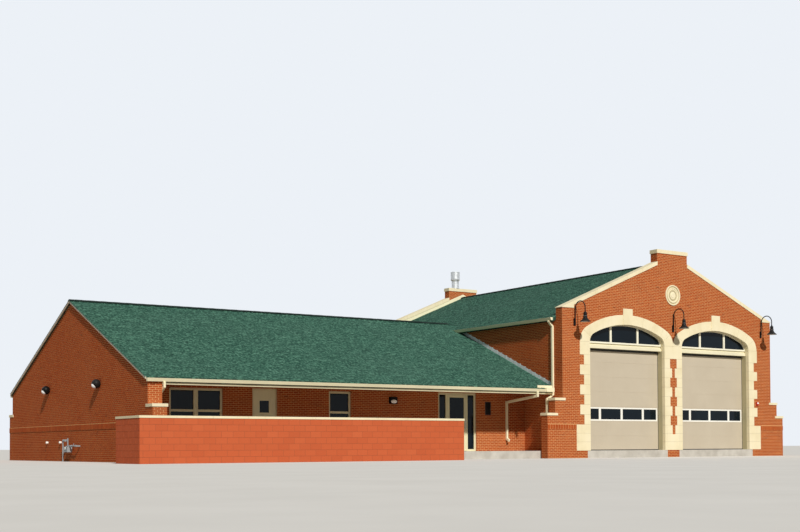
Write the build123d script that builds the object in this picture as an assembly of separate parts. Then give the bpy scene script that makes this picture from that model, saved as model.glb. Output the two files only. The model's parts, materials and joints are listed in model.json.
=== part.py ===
from build123d import *
import math
import os

# Fire station: a gabled apparatus bay with two arched doorways, and a long low
# wing with a porch and a screen wall beside it. Millimetres, +Z up, front
# towards -Y. Places are written from the bay's front left corner at floor
# level, and placed() moves each piece to the part's own frame, whose origin is
# the centre of the base of everything.

# Masonry and caps
BRICK_MODULE = 203.2
COURSE = BRICK_MODULE / 3
QUOIN = 6 * COURSE
PLINTH = 305.0
PROUD = 15.0
CAP_OVERHANG = 30.0
CAP_HEIGHT = 105.0
CAP_LAP = 130.0
BELT_BOTTOM = 865.0
BELT_HEIGHT = 200.0

# Apparatus bay
DOOR_WIDTH = 4267.0
SIDE_PIER = 1474.0
MIDDLE_PIER = 1055.0
BAY_DEPTH = 15480.0
END_WALL = 380.0
SIDE_WALL = 305.0
BUTTRESS_STEP = 406.0
BUTTRESS_TOPS = (2020.0, 1410.0)
RIDGE_HEIGHT = 8090.0
BAY_SLOPE = 5.0 / 12.0
BAY_EAVE = 170.0
ROOF_THICKNESS = 180.0

# Raised end walls and their copings
KNEELER_BOTTOM = 5780.0
KNEELER_TOP = 5813.0
KNEELER_WIDTH = 620.0
COPING = 160.0
COPING_LAP = 30.0
BLOCK_WIDTH = 1800.0
BLOCK_TOP = 8570.0
MEDALLION_HEIGHT = 6650.0
MEDALLION_RINGS = ((440.0, 40.0), (385.0, 15.0), (330.0, 35.0), (285.0, 20.0), (110.0, 32.0))

# Arched doorways and their cast stone
SPRINGING = 4450.0
INNER_RISE = 790.0
INNER_HAUNCH = 400.0
RING = 533.0
OUTER_RISE = 1200.0
OUTER_HAUNCH = 700.0
KEYSTONE_WIDTH = 540.0
KEYSTONE_TOP = 5910.0
STONE_DEPTH = 200.0
BASE_STONE = 755.0
BASE_STONE_TOP = 1060.0
NARROW_STONE = 330.0
WIDE_STONE = 550.0
QUOIN_ROWS = 7
PIER_STONE_TOP = 670.0
PIER_BRICK = 400.0
PIER_BRICK_NECK = 170.0

# Overhead doors and the lights over them
LEAF = 50.0
LEAF_GAP = 20.0
LEAF_LAP = 40.0
LITE_BOTTOM = 1230.0
LITE_TOP = 1790.0
LITE_BAR = 115.0
END_LITE = 730.0
LITE_FRAME = 60.0
LITE_EDGE = 55.0
TRANSOM_SETBACK = 200.0
TRANSOM_DEPTH = 100.0
TRANSOM_FIT = 2.0
BEAM_BOTTOM = 4220.0
BEAM_HEIGHT = 130.0
BEAM_GAP = 80.0
BEAM_GAP_DEPTH = 50.0
TRANSOM_SILL = 65.0
TRANSOM_RIM = 38.0
MULLION = 95.0
MIDDLE_LIGHT = 1445.0
GLASS = 12.0
REAR_DOOR_HEIGHT = 4267.0
LINTEL = 270.0

# Wing
WING_LENGTH = 17440.0
WING_FRONT = 470.0
WING_REAR_SETBACK = 110.0
WING_WALL = 305.0
WING_RIDGE_HEIGHT = 5760.0
WING_EAVE_HEIGHT = 2520.0
WING_EAVE = 20.0
RAKE_OVERHANG = 60.0
RAKE_BOARD = 40.0
RAKE_BOARD_HEIGHT = 75.0
RIDGE_CAP = 150.0
RIDGE_CAP_THICKNESS = 22.0
WING_PIER = 500.0
WING_BUTTRESS = 410.0
WING_BUTTRESS_TOP = 1530.0
PORCH_DEPTH = 1930.0
CEILING = 2375.0
CEILING_BOARD = 20.0
PORCH_BEAM = 120.0
PORCH_BEAM_BOTTOM = 2280.0

# Windows and doorways of the wing, placed from its far end or from the bay
WINDOW_SILL = 1067.0
WINDOW_HEAD = 2290.0
WINDOW_RAIL = 430.0
WINDOW_FRAME = 80.0
WINDOW_MULLION = 170.0
FRAME_DEPTH = 100.0
FRAME_SETBACK = 60.0
DOUBLE_WINDOW_PLACE = 1575.0
DOUBLE_WINDOW_WIDTH = 2045.0
SINGLE_WINDOW_PLACE = 7980.0
SINGLE_WINDOW_WIDTH = 980.0
REAR_WINDOWS = 5
REAR_WINDOW_WIDTH = 1220.0
PORCH_DOOR_PLACE = 4785.0
PORCH_DOOR_FRAME = 45.0
PORCH_DOOR_HEAD = 2330.0
PORCH_LITE_WIDTH = 385.0
PORCH_LITE_BOTTOM = 1455.0
PORCH_LITE_TOP = 1888.0
ENTRY_FROM_BAY = 4420.0
ENTRY_WIDTH = 1890.0
ENTRY_HEAD = 2346.0
ENTRY_DOOR_PLACE = 482.0

# Hinged doors
DOOR_LEAF_WIDTH = 926.0
DOOR_LEAF = 45.0
DOOR_GAP = 6.0
FLOOR_GAP = 10.0
STILE = 100.0
BOTTOM_RAIL = 200.0
HINGE_PLACES = (0.12, 0.5, 0.88)
PIN = 5.0
PIN_FIT = 0.3
KNUCKLE = 9.0
KNUCKLE_LENGTH = 60.0
HINGE_PLATE = 35.0
HINGE_STAND_OFF = 1.0

# Screen wall
SCREEN_REACH = 1160.0
SCREEN_LENGTH = 12370.0
SCREEN_FRONT = -1720.0
SCREEN_THICKNESS = 203.0
SCREEN_TOP = 1117.0
SCREEN_COPING = 76.0
SCREEN_OVERHANG = 20.0

# Gutters, pipes and flashing
GUTTER = 130.0
GUTTER_HEIGHT = 112.0
GUTTER_SHELL = 6.0
GUTTER_DROP = 40.0
PIPE_WIDTH = 76.0
PIPE_DEPTH = 102.0
PIPE_FOOT = 150.0
PIPE_SHOE = 160.0
PIPE_DROP = 40.0
PIPE_SLANT = 200.0
PORCH_PIPE_DROP = 170.0
BAY_PIPE_PLACE = 565.0
PORCH_PIPE_PLACE = 1000.0
PORCH_PIPE_FOOT = 500.0
REAR_PIPE_SPANS = (1, 4)
EAVE_BOX = 560.0
EAVE_BOX_RISE = 60.0
PIPE_NOTCH = 150.0
DIVERTER = 780.0
DIVERTER_HEIGHT = 110.0
DIVERTER_PLATE = 30.0
FLASHING = 150.0
FLASHING_THICKNESS = 6.0

# Flue, lamps, lights and meter
FLUE_FROM_CENTRE = -350.0
FLUE_RADIUS = 190.0
FLUE_HEIGHT = 420.0
FLUE_HOOD_RADIUS = 240.0
FLUE_HOOD_HEIGHT = 470.0
LAMP_INSET = 650.0
LAMP_PLATE_HEIGHT = 5205.0
LAMP_PLATE = (110.0, 50.0, 290.0)
LAMP_TUBE = 17.0
LAMP_STAND_OFF = 60.0
LAMP_REACH = 650.0
LAMP_TOP = 6030.0
SHADE_RIM_HEIGHT = 5190.0
SHADE_RADIUS = 215.0
SHADE_FLARE = 170.0
SHADE_LIP = 20.0
SHADE_NECK = (78.0, 70.0, 390.0)
SHADE_THICKNESS = 12.0
GABLE_LIGHTS = (4430.0, 10050.0)
GABLE_LIGHT_HEIGHT = 2485.0
GABLE_LIGHT_OUT = 130.0
GABLE_LIGHT_RADIUS = 165.0
PORCH_LIGHT_PLACE = 10670.0
PORCH_LIGHT_HEIGHT = 1860.0
PORCH_LIGHT = (330.0, 110.0, 260.0)
METER_PLACE = 7380.0
METER_BODY = (190.0, 400.0, 210.0)
METER_FOOT = 50.0
METER_RISE = 570.0
METER_ARM = (6460.0, 280.0)
METER_RISER = (7930.0, 490.0)
REGULATOR_PLACE = 180.0
METER_PIPE = 25.0
METER_OFF_WALL = 60.0

# Sizes that follow
BAY_WIDTH = 2 * SIDE_PIER + 2 * DOOR_WIDTH + MIDDLE_PIER
BAY_CENTRE = BAY_WIDTH / 2
BAY_REAR = BAY_DEPTH - END_WALL
DOORWAYS = (SIDE_PIER, SIDE_PIER + DOOR_WIDTH + MIDDLE_PIER)
DOOR_CENTRES = tuple(left + DOOR_WIDTH / 2 for left in DOORWAYS)
BUTTRESS_OUT = 2 * BUTTRESS_STEP
BLOCK_LEFT = BAY_CENTRE - BLOCK_WIDTH / 2
WING_END = -WING_LENGTH
WING_REAR = BAY_DEPTH - WING_REAR_SETBACK
WING_MIDDLE = (WING_FRONT + WING_REAR) / 2
EAVE_LINE = WING_FRONT - WING_EAVE
REAR_EAVE_LINE = WING_REAR + WING_EAVE
WING_SLOPE = (WING_RIDGE_HEIGHT - WING_EAVE_HEIGHT) / (WING_MIDDLE - EAVE_LINE)
PORCH_WALL = WING_FRONT + PORCH_DEPTH
PORCH_WALL_BACK = PORCH_WALL + WING_WALL
WING_STEP = WING_FRONT - WING_BUTTRESS
PORCH_DOOR_WIDTH = DOOR_LEAF_WIDTH + 2 * PORCH_DOOR_FRAME
SCREEN_LEFT = WING_END - SCREEN_REACH
SCREEN_RIGHT = SCREEN_LEFT + SCREEN_LENGTH
SCREEN_BACK = SCREEN_FRONT + SCREEN_THICKNESS
LEFT_END = SCREEN_LEFT - SCREEN_OVERHANG
RIGHT_END = BAY_WIDTH + BUTTRESS_OUT + CAP_OVERHANG
FRONT_END = SCREEN_FRONT - SCREEN_OVERHANG
REAR_END = WING_REAR + WING_BUTTRESS + CAP_OVERHANG
ORIGIN = ((LEFT_END + RIGHT_END) / 2, (FRONT_END + REAR_END) / 2, -PLINTH)


def write(name, *shapes):
    """Save a node, moved from the site's corner to the part's own origin."""
    solids = [solid for shape in shapes for solid in shape.solids()]
    whole = solids[0] if len(solids) == 1 else Compound(children=solids)
    export_step(Pos(-ORIGIN[0], -ORIGIN[1], -ORIGIN[2]) * whole, f"parts/{name}.step")


def block(x0, x1, y0, y1, z0, z1):
    size = (abs(x1 - x0), abs(y1 - y0), abs(z1 - z0))
    corner = Pos(min(x0, x1), min(y0, y1), min(z0, z1))
    return corner * Box(*size, align=(Align.MIN, Align.MIN, Align.MIN))


def slab_xz(points, y0, y1):
    """A flat outline seen from the front, given its depth along Y."""
    outline = Polyline(*[(x, y0, z) for x, z in points], close=True)
    return extrude(make_face(outline), amount=y1 - y0, dir=(0, 1, 0))


def slab_yz(points, x0, x1):
    """A flat outline seen from the side, given its length along X."""
    outline = Polyline(*[(x0, y, z) for y, z in points], close=True)
    return extrude(make_face(outline), amount=x1 - x0, dir=(1, 0, 0))


def other_side(shape):
    """The same piece on the other side of the bay's middle."""
    return mirror(shape, about=Plane.YZ.offset(BAY_CENTRE))


def other_slope(shape):
    """The same piece on the other side of the wing's ridge."""
    return mirror(shape, about=Plane.XZ.offset(-WING_MIDDLE))


def bay_roof_top(x):
    return RIDGE_HEIGHT - BAY_SLOPE * abs(x - BAY_CENTRE)


def bay_roof_under(x):
    return bay_roof_top(x) - ROOF_THICKNESS


def rake_top(x):
    return KNEELER_TOP + BAY_SLOPE * (BAY_CENTRE - abs(x - BAY_CENTRE))


def wing_roof_top(y):
    return WING_RIDGE_HEIGHT - WING_SLOPE * abs(y - WING_MIDDLE)


def wing_roof_under(y):
    return wing_roof_top(y) - ROOF_THICKNESS


def wing_edge_under(y):
    """Underside of the thinner edge of the wing's roof, over its end wall."""
    return wing_roof_top(y) - RAKE_BOARD_HEIGHT


# Three-centred arch

def arch_slab(centre, half_span, rise, haunch, foot, y0, y1):
    """Straight sides from foot up to the springing, and a three-centred head."""
    crown = ((half_span - haunch) ** 2 + rise**2 - haunch**2) / (2 * (rise - haunch))
    turn = math.atan2(crown - rise, half_span - haunch)
    joint = (crown * math.cos(turn), crown * math.sin(turn) - crown + rise)
    side = (half_span - haunch + haunch * math.cos(turn / 2), haunch * math.sin(turn / 2))

    def at(x, z):
        return (centre + x, y0, SPRINGING + z)

    low = foot - SPRINGING
    outline = [
        ThreePointArc(at(half_span, 0), at(*side), at(*joint)),
        ThreePointArc(at(*joint), at(0, rise), at(-joint[0], joint[1])),
        ThreePointArc(at(-joint[0], joint[1]), at(-side[0], side[1]), at(-half_span, 0)),
        Line(at(-half_span, 0), at(-half_span, low)),
        Line(at(-half_span, low), at(half_span, low)),
        Line(at(half_span, low), at(half_span, 0)),
    ]
    return extrude(make_face(outline), amount=y1 - y0, dir=(0, 1, 0))


def doorway(centre, y0, y1):
    return arch_slab(centre, DOOR_WIDTH / 2, INNER_RISE, INNER_HAUNCH, 0, y0, y1)


# Cast stone round a doorway

def quoins(centre, side):
    """Stacked stones at one jamb. side is -1 for the left and 1 for the right."""
    jamb = centre + side * DOOR_WIDTH / 2
    half_pier = MIDDLE_PIER / 2
    in_middle = side * (BAY_CENTRE - jamb) > 0

    def stone(width, foot, top):
        return block(jamb, jamb + side * width, -PROUD, STONE_DEPTH, foot, top)

    if in_middle:
        wide = half_pier - PIER_BRICK_NECK / 2
        narrow = half_pier - PIER_BRICK / 2
        top_stone = half_pier
        stones = stone(half_pier, 0, PIER_STONE_TOP) + stone(wide, PIER_STONE_TOP, BASE_STONE_TOP)
    else:
        wide = WIDE_STONE
        narrow = NARROW_STONE
        top_stone = WIDE_STONE
        stones = stone(BASE_STONE, 0, BASE_STONE_TOP)
    for row in range(QUOIN_ROWS):
        foot = BASE_STONE_TOP + row * QUOIN
        stones += stone(wide if row % 2 else narrow, foot, foot + QUOIN)
    return stones + stone(top_stone, BASE_STONE_TOP + QUOIN_ROWS * QUOIN, SPRINGING)


def surround(centre):
    """Base stones, quoins, arch ring and keystone, cut off at the bay's middle."""
    ring = arch_slab(centre, DOOR_WIDTH / 2 + RING, OUTER_RISE, OUTER_HAUNCH, 0, -PROUD, STONE_DEPTH)
    ring &= block(-BUTTRESS_OUT, RIGHT_END, -PROUD, STONE_DEPTH, SPRINGING, BLOCK_TOP)
    stones = ring + quoins(centre, -1) + quoins(centre, 1)
    outside = 0 if centre < BAY_CENTRE else BAY_WIDTH
    stones &= block(outside, BAY_CENTRE, -PROUD, STONE_DEPTH, 0, BLOCK_TOP)
    half_key = KEYSTONE_WIDTH / 2
    stones += block(centre - half_key, centre + half_key, -2 * PROUD, STONE_DEPTH,
                    SPRINGING, KEYSTONE_TOP)
    return stones - doorway(centre, -3 * PROUD, END_WALL)


# Stepped and raised end walls

def end_wall(y0, y1, left_buttress):
    upper = [(0, KNEELER_BOTTOM), (KNEELER_WIDTH, KNEELER_BOTTOM),
             (KNEELER_WIDTH, rake_top(KNEELER_WIDTH) - COPING),
             (BLOCK_LEFT, rake_top(BLOCK_LEFT) - COPING), (BLOCK_LEFT, BLOCK_TOP - COPING)]
    stepped = [(-BUTTRESS_OUT, 0), (-BUTTRESS_OUT, BUTTRESS_TOPS[1]),
               (-BUTTRESS_STEP, BUTTRESS_TOPS[1]), (-BUTTRESS_STEP, BUTTRESS_TOPS[0]),
               (0, BUTTRESS_TOPS[0])]
    left = (stepped if left_buttress else [(0, 0)]) + upper
    right = [(BAY_WIDTH - x, z) for x, z in reversed(stepped + upper)]
    return slab_xz(left + right, y0, y1)


def buttress_caps(y0, y1):
    """Cap stones of the left buttress of one end wall."""
    inside = block(0, BAY_WIDTH, END_WALL, BAY_REAR, 0, RIDGE_HEIGHT)
    caps = []
    for step, top in enumerate(BUTTRESS_TOPS):
        outer = -(step + 1) * BUTTRESS_STEP - CAP_OVERHANG
        inner = -step * BUTTRESS_STEP + CAP_LAP
        cap = block(outer, inner, y0 - CAP_OVERHANG, y1 + CAP_OVERHANG, top, top + CAP_HEIGHT)
        caps.append(cap - inside)
    return caps


def end_coping(y0, y1):
    """Both raking copings with their kneelers, and the cap of the raised block."""
    front = y0 - COPING_LAP
    back = y1 + COPING_LAP
    rake = slab_xz(
        [(-COPING_LAP, KNEELER_BOTTOM), (KNEELER_WIDTH, KNEELER_BOTTOM),
         (KNEELER_WIDTH, rake_top(KNEELER_WIDTH) - COPING),
         (BLOCK_LEFT, rake_top(BLOCK_LEFT) - COPING),
         (BLOCK_LEFT, rake_top(BLOCK_LEFT)), (-COPING_LAP, rake_top(-COPING_LAP))], front, back)
    cap = block(BLOCK_LEFT - COPING_LAP, BAY_WIDTH - BLOCK_LEFT + COPING_LAP, front, back,
                BLOCK_TOP - COPING, BLOCK_TOP)
    return [rake, other_side(rake), cap]


def medallion():
    """A round plaque of plain concentric rings."""
    profile = [(0, 0)]
    for radius, proud in MEDALLION_RINGS:
        profile += [(radius, profile[-1][1]), (radius, proud)]
    profile[1] = (MEDALLION_RINGS[0][0], 0)
    profile.append((0, MEDALLION_RINGS[-1][1]))
    outline = Polyline(*[(r, 0, d) for r, d in profile], close=True)
    turned = revolve(make_face(outline), Axis.Z, 360)
    return Pos(BAY_CENTRE, 0, MEDALLION_HEIGHT) * Rot(90, 0, 0) * turned


# Windows

def window(left, right, front, sill, head, mullions=()):
    """A frame with one row of low lights, and its panes in the middle of its depth."""
    half = WINDOW_FRAME / 2
    half_mullion = WINDOW_MULLION / 2
    rail = sill + WINDOW_RAIL
    back = front + FRAME_DEPTH
    middle = (front + back) / 2
    edges = [x + side * half_mullion for x in mullions for side in (-1, 1)]
    columns = [left + WINDOW_FRAME, *edges, right - WINDOW_FRAME]
    rows = [sill + WINDOW_FRAME, rail - half, rail + half, head - WINDOW_FRAME]
    frame = block(left, right, front, back, sill, head)
    panes = []
    for x0, x1 in zip(columns[::2], columns[1::2]):
        for z0, z1 in zip(rows[::2], rows[1::2]):
            frame -= block(x0, x1, front, back, z0, z1)
            panes.append(block(x0, x1, middle - GLASS / 2, middle + GLASS / 2, z0, z1))
    return frame, panes


# Hinged doors

def hinges(x, y, foot, top):
    """Fixed and moving halves of the hinges that stand on one vertical line."""
    reach = KNUCKLE + HINGE_STAND_OFF
    fixed = Part()
    moving = Part()
    for place in HINGE_PLACES:
        seat = foot + place * (top - foot)
        bottom = (Align.CENTER, Align.CENTER, Align.MIN)
        fixed += Pos(x, y, seat - KNUCKLE_LENGTH) * Cylinder(KNUCKLE, KNUCKLE_LENGTH, align=bottom)
        fixed += Pos(x, y, seat) * Cylinder(PIN, KNUCKLE_LENGTH, align=bottom)
        fixed += block(x - HINGE_PLATE, x, y, y + reach, seat - KNUCKLE_LENGTH, seat)
        lifted = seat + PIN_FIT
        sleeve = Pos(x, y, lifted) * Cylinder(KNUCKLE, KNUCKLE_LENGTH, align=bottom)
        sleeve += block(x, x + HINGE_PLATE, y, y + reach, lifted, lifted + KNUCKLE_LENGTH)
        sleeve -= Pos(x, y, seat) * Cylinder(PIN + PIN_FIT, 2 * KNUCKLE_LENGTH, align=bottom)
        moving += sleeve
    return fixed, moving


def hinged_door(left, right, front, head, light):
    """A leaf that turns on its left edge, its pane, and the fixed hinge halves."""
    x0 = left + DOOR_GAP
    x1 = right - DOOR_GAP
    top = head - DOOR_GAP
    light_left, light_right, light_foot, light_top = light
    back = front + DOOR_LEAF
    middle = (front + back) / 2
    leaf = block(x0, x1, front, back, FLOOR_GAP, top)
    leaf -= block(light_left, light_right, front, back, light_foot, light_top)
    pane = block(light_left, light_right, middle - GLASS / 2, middle + GLASS / 2, light_foot, light_top)
    fixed, moving = hinges(left + DOOR_GAP / 2, front - KNUCKLE - HINGE_STAND_OFF, FLOOR_GAP, top)
    return leaf + moving, pane, fixed


# Overhead doors

def overhead_door(x0, x1, y, top):
    """A flat leaf with a strip of four lights, its white frame and its panes."""
    left = x0 + LITE_EDGE
    right = x1 - LITE_EDGE
    centre = (x0 + x1) / 2
    leaf = block(x0 - LEAF_LAP, x1 + LEAF_LAP, y, y + LEAF, 0, top)
    strip = block(left, right, y, y + LEAF, LITE_BOTTOM, LITE_TOP)
    leaf -= strip
    middle = y + LEAF / 2
    foot = LITE_BOTTOM + LITE_FRAME
    head = LITE_TOP - LITE_FRAME
    first = left + LITE_FRAME
    second = first + END_LITE + LITE_BAR
    lites = [(first, first + END_LITE), (second, centre - LITE_BAR / 2)]
    lites += [(2 * centre - b, 2 * centre - a) for a, b in lites]
    panes = []
    for lite_left, lite_right in lites:
        strip -= block(lite_left, lite_right, y, y + LEAF, foot, head)
        panes.append(block(lite_left, lite_right, middle - GLASS / 2, middle + GLASS / 2, foot, head))
    return leaf, strip, panes


def transom(centre):
    """The arched light over a door, with the beam that closes the door's head."""
    x0 = centre - DOOR_WIDTH / 2
    x1 = centre + DOOR_WIDTH / 2
    front = TRANSOM_SETBACK
    back = front + TRANSOM_DEPTH
    beam_top = BEAM_BOTTOM + BEAM_HEIGHT
    sill = beam_top + BEAM_GAP
    neck = front + BEAM_GAP_DEPTH

    def head(inset):
        shape = arch_slab(centre, DOOR_WIDTH / 2 - inset, INNER_RISE - inset, INNER_HAUNCH - inset,
                          0, front, back)
        return shape & block(x0, x1, front, back, sill if inset < TRANSOM_RIM else sill + TRANSOM_SILL,
                             KEYSTONE_TOP)

    lights = head(TRANSOM_RIM)
    for side in (-1, 1):
        bar = centre + side * (MIDDLE_LIGHT + MULLION) / 2
        lights -= block(bar - MULLION / 2, bar + MULLION / 2, front, back, sill, KEYSTONE_TOP)
    frame = head(TRANSOM_FIT)
    frame += slab_yz(
        [(front, BEAM_BOTTOM), (END_WALL, BEAM_BOTTOM), (END_WALL, beam_top), (back, beam_top),
         (back, sill), (neck, sill), (neck, beam_top), (front, beam_top)], x0, x1)
    pane_room = block(x0, x1, (front + back - GLASS) / 2, (front + back + GLASS) / 2, sill, KEYSTONE_TOP)
    panes = []
    for light in lights.solids():
        frame -= light
        panes.append(light & pane_room)
    return frame, panes


# Gutters and pipes

def gutter(length):
    """A trough along +X whose back stands on Y = 0 and whose rim is at Z = 0."""
    shell = GUTTER_SHELL
    trough = block(0, length, -GUTTER, 0, -GUTTER_HEIGHT, 0)
    return trough - block(shell, length - shell, shell - GUTTER, -shell, shell - GUTTER_HEIGHT, 0)


def pipe(*points):
    """A square pipe through the given points, starting upright."""
    start = Plane(origin=points[0], x_dir=(1, 0, 0), z_dir=(0, 0, -1))
    section = start * Rectangle(PIPE_WIDTH, PIPE_DEPTH)
    return sweep(section, path=Polyline(*points), transition=Transition.RIGHT)


# Lamps and lights

def lamp(x):
    """Wall plate, gooseneck and bell shade, hollow from below."""
    bend = (LAMP_REACH - LAMP_STAND_OFF) / 2
    rise = LAMP_TOP - bend
    neck_radius, neck_top, neck_height = SHADE_NECK
    near = (x, -LAMP_STAND_OFF)
    far = (x, -LAMP_REACH)
    seat = SHADE_RIM_HEIGHT + neck_height - LAMP_TUBE
    line = Wire([
        Line((*near, LAMP_PLATE_HEIGHT), (*near, rise)),
        ThreePointArc((*near, rise), (x, -LAMP_STAND_OFF - bend, LAMP_TOP), (*far, rise)),
        Line((*far, rise), (*far, seat)),
    ])
    tube = sweep(Plane(origin=(*near, LAMP_PLATE_HEIGHT), z_dir=(0, 0, 1)) * Circle(LAMP_TUBE), path=line)
    inner = SHADE_RADIUS - SHADE_THICKNESS
    ceiling = SHADE_FLARE - SHADE_THICKNESS
    profile = [(0, neck_height), (neck_top, neck_height), (neck_radius, SHADE_FLARE), (SHADE_RADIUS, 0),
               (SHADE_RADIUS, -SHADE_LIP), (inner, -SHADE_LIP), (inner, 0),
               (neck_radius - SHADE_THICKNESS, ceiling), (0, ceiling)]
    shade = revolve(make_face(Polyline(*[(r, 0, z) for r, z in profile], close=True)), Axis.Z, 360)
    width, depth, height = LAMP_PLATE
    plate = Pos(x, -depth / 2, LAMP_PLATE_HEIGHT) * Box(width, depth, height)
    return plate + tube + Pos(*far, SHADE_RIM_HEIGHT) * shade


def gable_light(y):
    """A round globe light, turned so that the wing's end wall cuts off its base."""
    radius = GABLE_LIGHT_RADIUS
    out = GABLE_LIGHT_OUT
    seat = math.sqrt(radius**2 - out**2)
    outline = [
        ThreePointArc((0, 0, -radius), (radius, 0, 0), (seat, 0, out)),
        Line((seat, 0, out), (0, 0, out)),
        Line((0, 0, out), (0, 0, -radius)),
    ]
    globe = revolve(make_face(outline), Axis.Z, 360)
    return Pos(WING_END - out, y, GABLE_LIGHT_HEIGHT) * Rot(0, 90, 0) * globe


def gas_meter():
    """A meter with its stem and regulator, a riser, and an arm that turns into the wing's end wall."""
    depth, width, height = METER_BODY
    x = WING_END - METER_OFF_WALL - depth / 2
    y = WING_FRONT + METER_PLACE
    regulator = METER_RISER[1]
    body = block(x - depth / 2, x + depth / 2, y - width / 2, y + width / 2, METER_FOOT, METER_FOOT + height)
    body += Pos(x, y, (METER_FOOT + METER_RISE) / 2) * Cylinder(METER_PIPE, METER_RISE - METER_FOOT)
    for place, level in (METER_ARM, METER_RISER):
        end = WING_FRONT + place
        body += Pos(x, (end + y) / 2, level) * Rot(90, 0, 0) * Cylinder(METER_PIPE, abs(end - y))
    riser_top = regulator + METER_PIPE
    body += Pos(x, end, (riser_top - PLINTH) / 2) * Cylinder(METER_PIPE, riser_top + PLINTH)
    arm_end = WING_FRONT + METER_ARM[0]
    level = METER_ARM[1]
    body += block(x - METER_PIPE, WING_END, arm_end - METER_PIPE, arm_end + METER_PIPE, level - METER_PIPE,
                  level + METER_PIPE)
    return body + Pos(x, y + REGULATOR_PLACE, regulator) * Cylinder(3 * METER_PIPE, 3 * METER_PIPE)


os.makedirs("parts", exist_ok=True)

# Bay front wall, in the pieces beside and over the doorways

surrounds = [surround(centre) for centre in DOOR_CENTRES]
front_caps = buttress_caps(0, END_WALL)
front_caps += [other_side(cap) for cap in front_caps]
rear_caps = [other_side(cap) for cap in buttress_caps(BAY_REAR, BAY_DEPTH)]

front_wall = end_wall(0, END_WALL, True)
for centre in DOOR_CENTRES:
    front_wall -= doorway(centre, 0, END_WALL)
for stone in surrounds + front_caps:
    front_wall -= stone
left_part = block(-BUTTRESS_OUT, SIDE_PIER, 0, END_WALL, 0, SPRINGING)
middle_part = block(DOORWAYS[0] + DOOR_WIDTH, DOORWAYS[1], 0, END_WALL, 0, SPRINGING)
top_part = block(-BUTTRESS_OUT, BAY_WIDTH + BUTTRESS_OUT, 0, END_WALL, SPRINGING, BLOCK_TOP)
write("bay_left_pier", front_wall & left_part)
write("bay_middle_pier", front_wall & middle_part)
write("bay_right_pier", front_wall & other_side(left_part))
write("bay_front_gable", front_wall & top_part)
write("left_door_surround", surrounds[0])
write("right_door_surround", surrounds[1])
write("front_coping", *end_coping(0, END_WALL))
write("medallion", medallion())

# Bay rear and side walls

lintels = [block(left - NARROW_STONE, left + DOOR_WIDTH + NARROW_STONE, BAY_DEPTH - STONE_DEPTH,
                 BAY_DEPTH + PROUD, REAR_DOOR_HEIGHT, REAR_DOOR_HEIGHT + LINTEL) for left in DOORWAYS]
rear_wall = end_wall(BAY_REAR, BAY_DEPTH, False)
for left in DOORWAYS:
    rear_wall -= block(left, left + DOOR_WIDTH, BAY_REAR, BAY_DEPTH, 0, REAR_DOOR_HEIGHT)
for stone in lintels + rear_caps:
    rear_wall -= stone
write("bay_rear_wall", rear_wall)
write("rear_door_lintels", *lintels)
write("rear_coping", *end_coping(BAY_REAR, BAY_DEPTH))

side_wall = slab_xz(
    [(0, 0), (SIDE_WALL, 0), (SIDE_WALL, bay_roof_under(SIDE_WALL)), (0, bay_roof_under(0))],
    END_WALL, BAY_REAR)
write("bay_left_wall", side_wall)
write("bay_right_wall", other_side(side_wall))

# Bay roof

eave = -BAY_EAVE
bay_roof = slab_xz(
    [(eave, bay_roof_under(eave)), (BAY_CENTRE, bay_roof_under(BAY_CENTRE)), (BAY_CENTRE, RIDGE_HEIGHT),
     (eave, bay_roof_top(eave))], END_WALL, BAY_REAR)
bay_outside = slab_xz(
    [(0, 0), (BAY_WIDTH, 0), (BAY_WIDTH, bay_roof_under(0)), (BAY_WIDTH - eave, bay_roof_under(eave)),
     (BAY_WIDTH - eave, bay_roof_top(eave)), (BAY_CENTRE, RIDGE_HEIGHT), (eave, bay_roof_top(eave)),
     (eave, bay_roof_under(eave)), (0, bay_roof_under(0))], 0, BAY_DEPTH)
write("bay_roof_left", bay_roof)
write("bay_roof_right", other_side(bay_roof))

# Floors, with the footings of the buttresses

bay_floor = block(0, BAY_WIDTH, 0, BAY_DEPTH, -PLINTH, 0)
bay_floor += block(-BUTTRESS_OUT, BAY_WIDTH + BUTTRESS_OUT, 0, END_WALL, -PLINTH, 0)
bay_floor += block(0, BAY_WIDTH + BUTTRESS_OUT, BAY_REAR, BAY_DEPTH, -PLINTH, 0)
wing_floor = block(WING_END, 0, WING_FRONT, WING_REAR, -PLINTH, 0)
wing_floor += block(WING_END, WING_END + WING_PIER, WING_STEP, WING_REAR + WING_BUTTRESS, -PLINTH, 0)
write("bay_floor", bay_floor)
write("wing_floor", wing_floor)

# Wing roof: two slopes that stop at the bay's wall, and the saddle that runs onto its roof

notch = block(-PIPE_NOTCH, 0, 0, BAY_PIPE_PLACE + PIPE_NOTCH, 0, WING_RIDGE_HEIGHT)
board_end = WING_END - RAKE_OVERHANG
pier_right = WING_END + WING_PIER
slope_foot = [(EAVE_LINE, wing_roof_under(EAVE_LINE)), (WING_MIDDLE, wing_roof_under(WING_MIDDLE))]
slope = slope_foot + [(WING_MIDDLE, WING_RIDGE_HEIGHT), (EAVE_LINE, WING_EAVE_HEIGHT)]
edge_foot = [(WING_MIDDLE, wing_edge_under(WING_MIDDLE)), (EAVE_LINE, wing_edge_under(EAVE_LINE))]
under_edge = slope_foot + edge_foot
front_slope = slab_yz(slope, board_end, 0) - slab_yz(under_edge, board_end, pier_right) - bay_outside
saddle_half = slab_yz(slope, 0, BAY_CENTRE) - bay_outside
saddle = saddle_half + other_slope(saddle_half)
write("wing_roof_front", front_slope - notch)
write("wing_roof_rear", other_slope(front_slope))
write("wing_roof_saddle", saddle)

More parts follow.
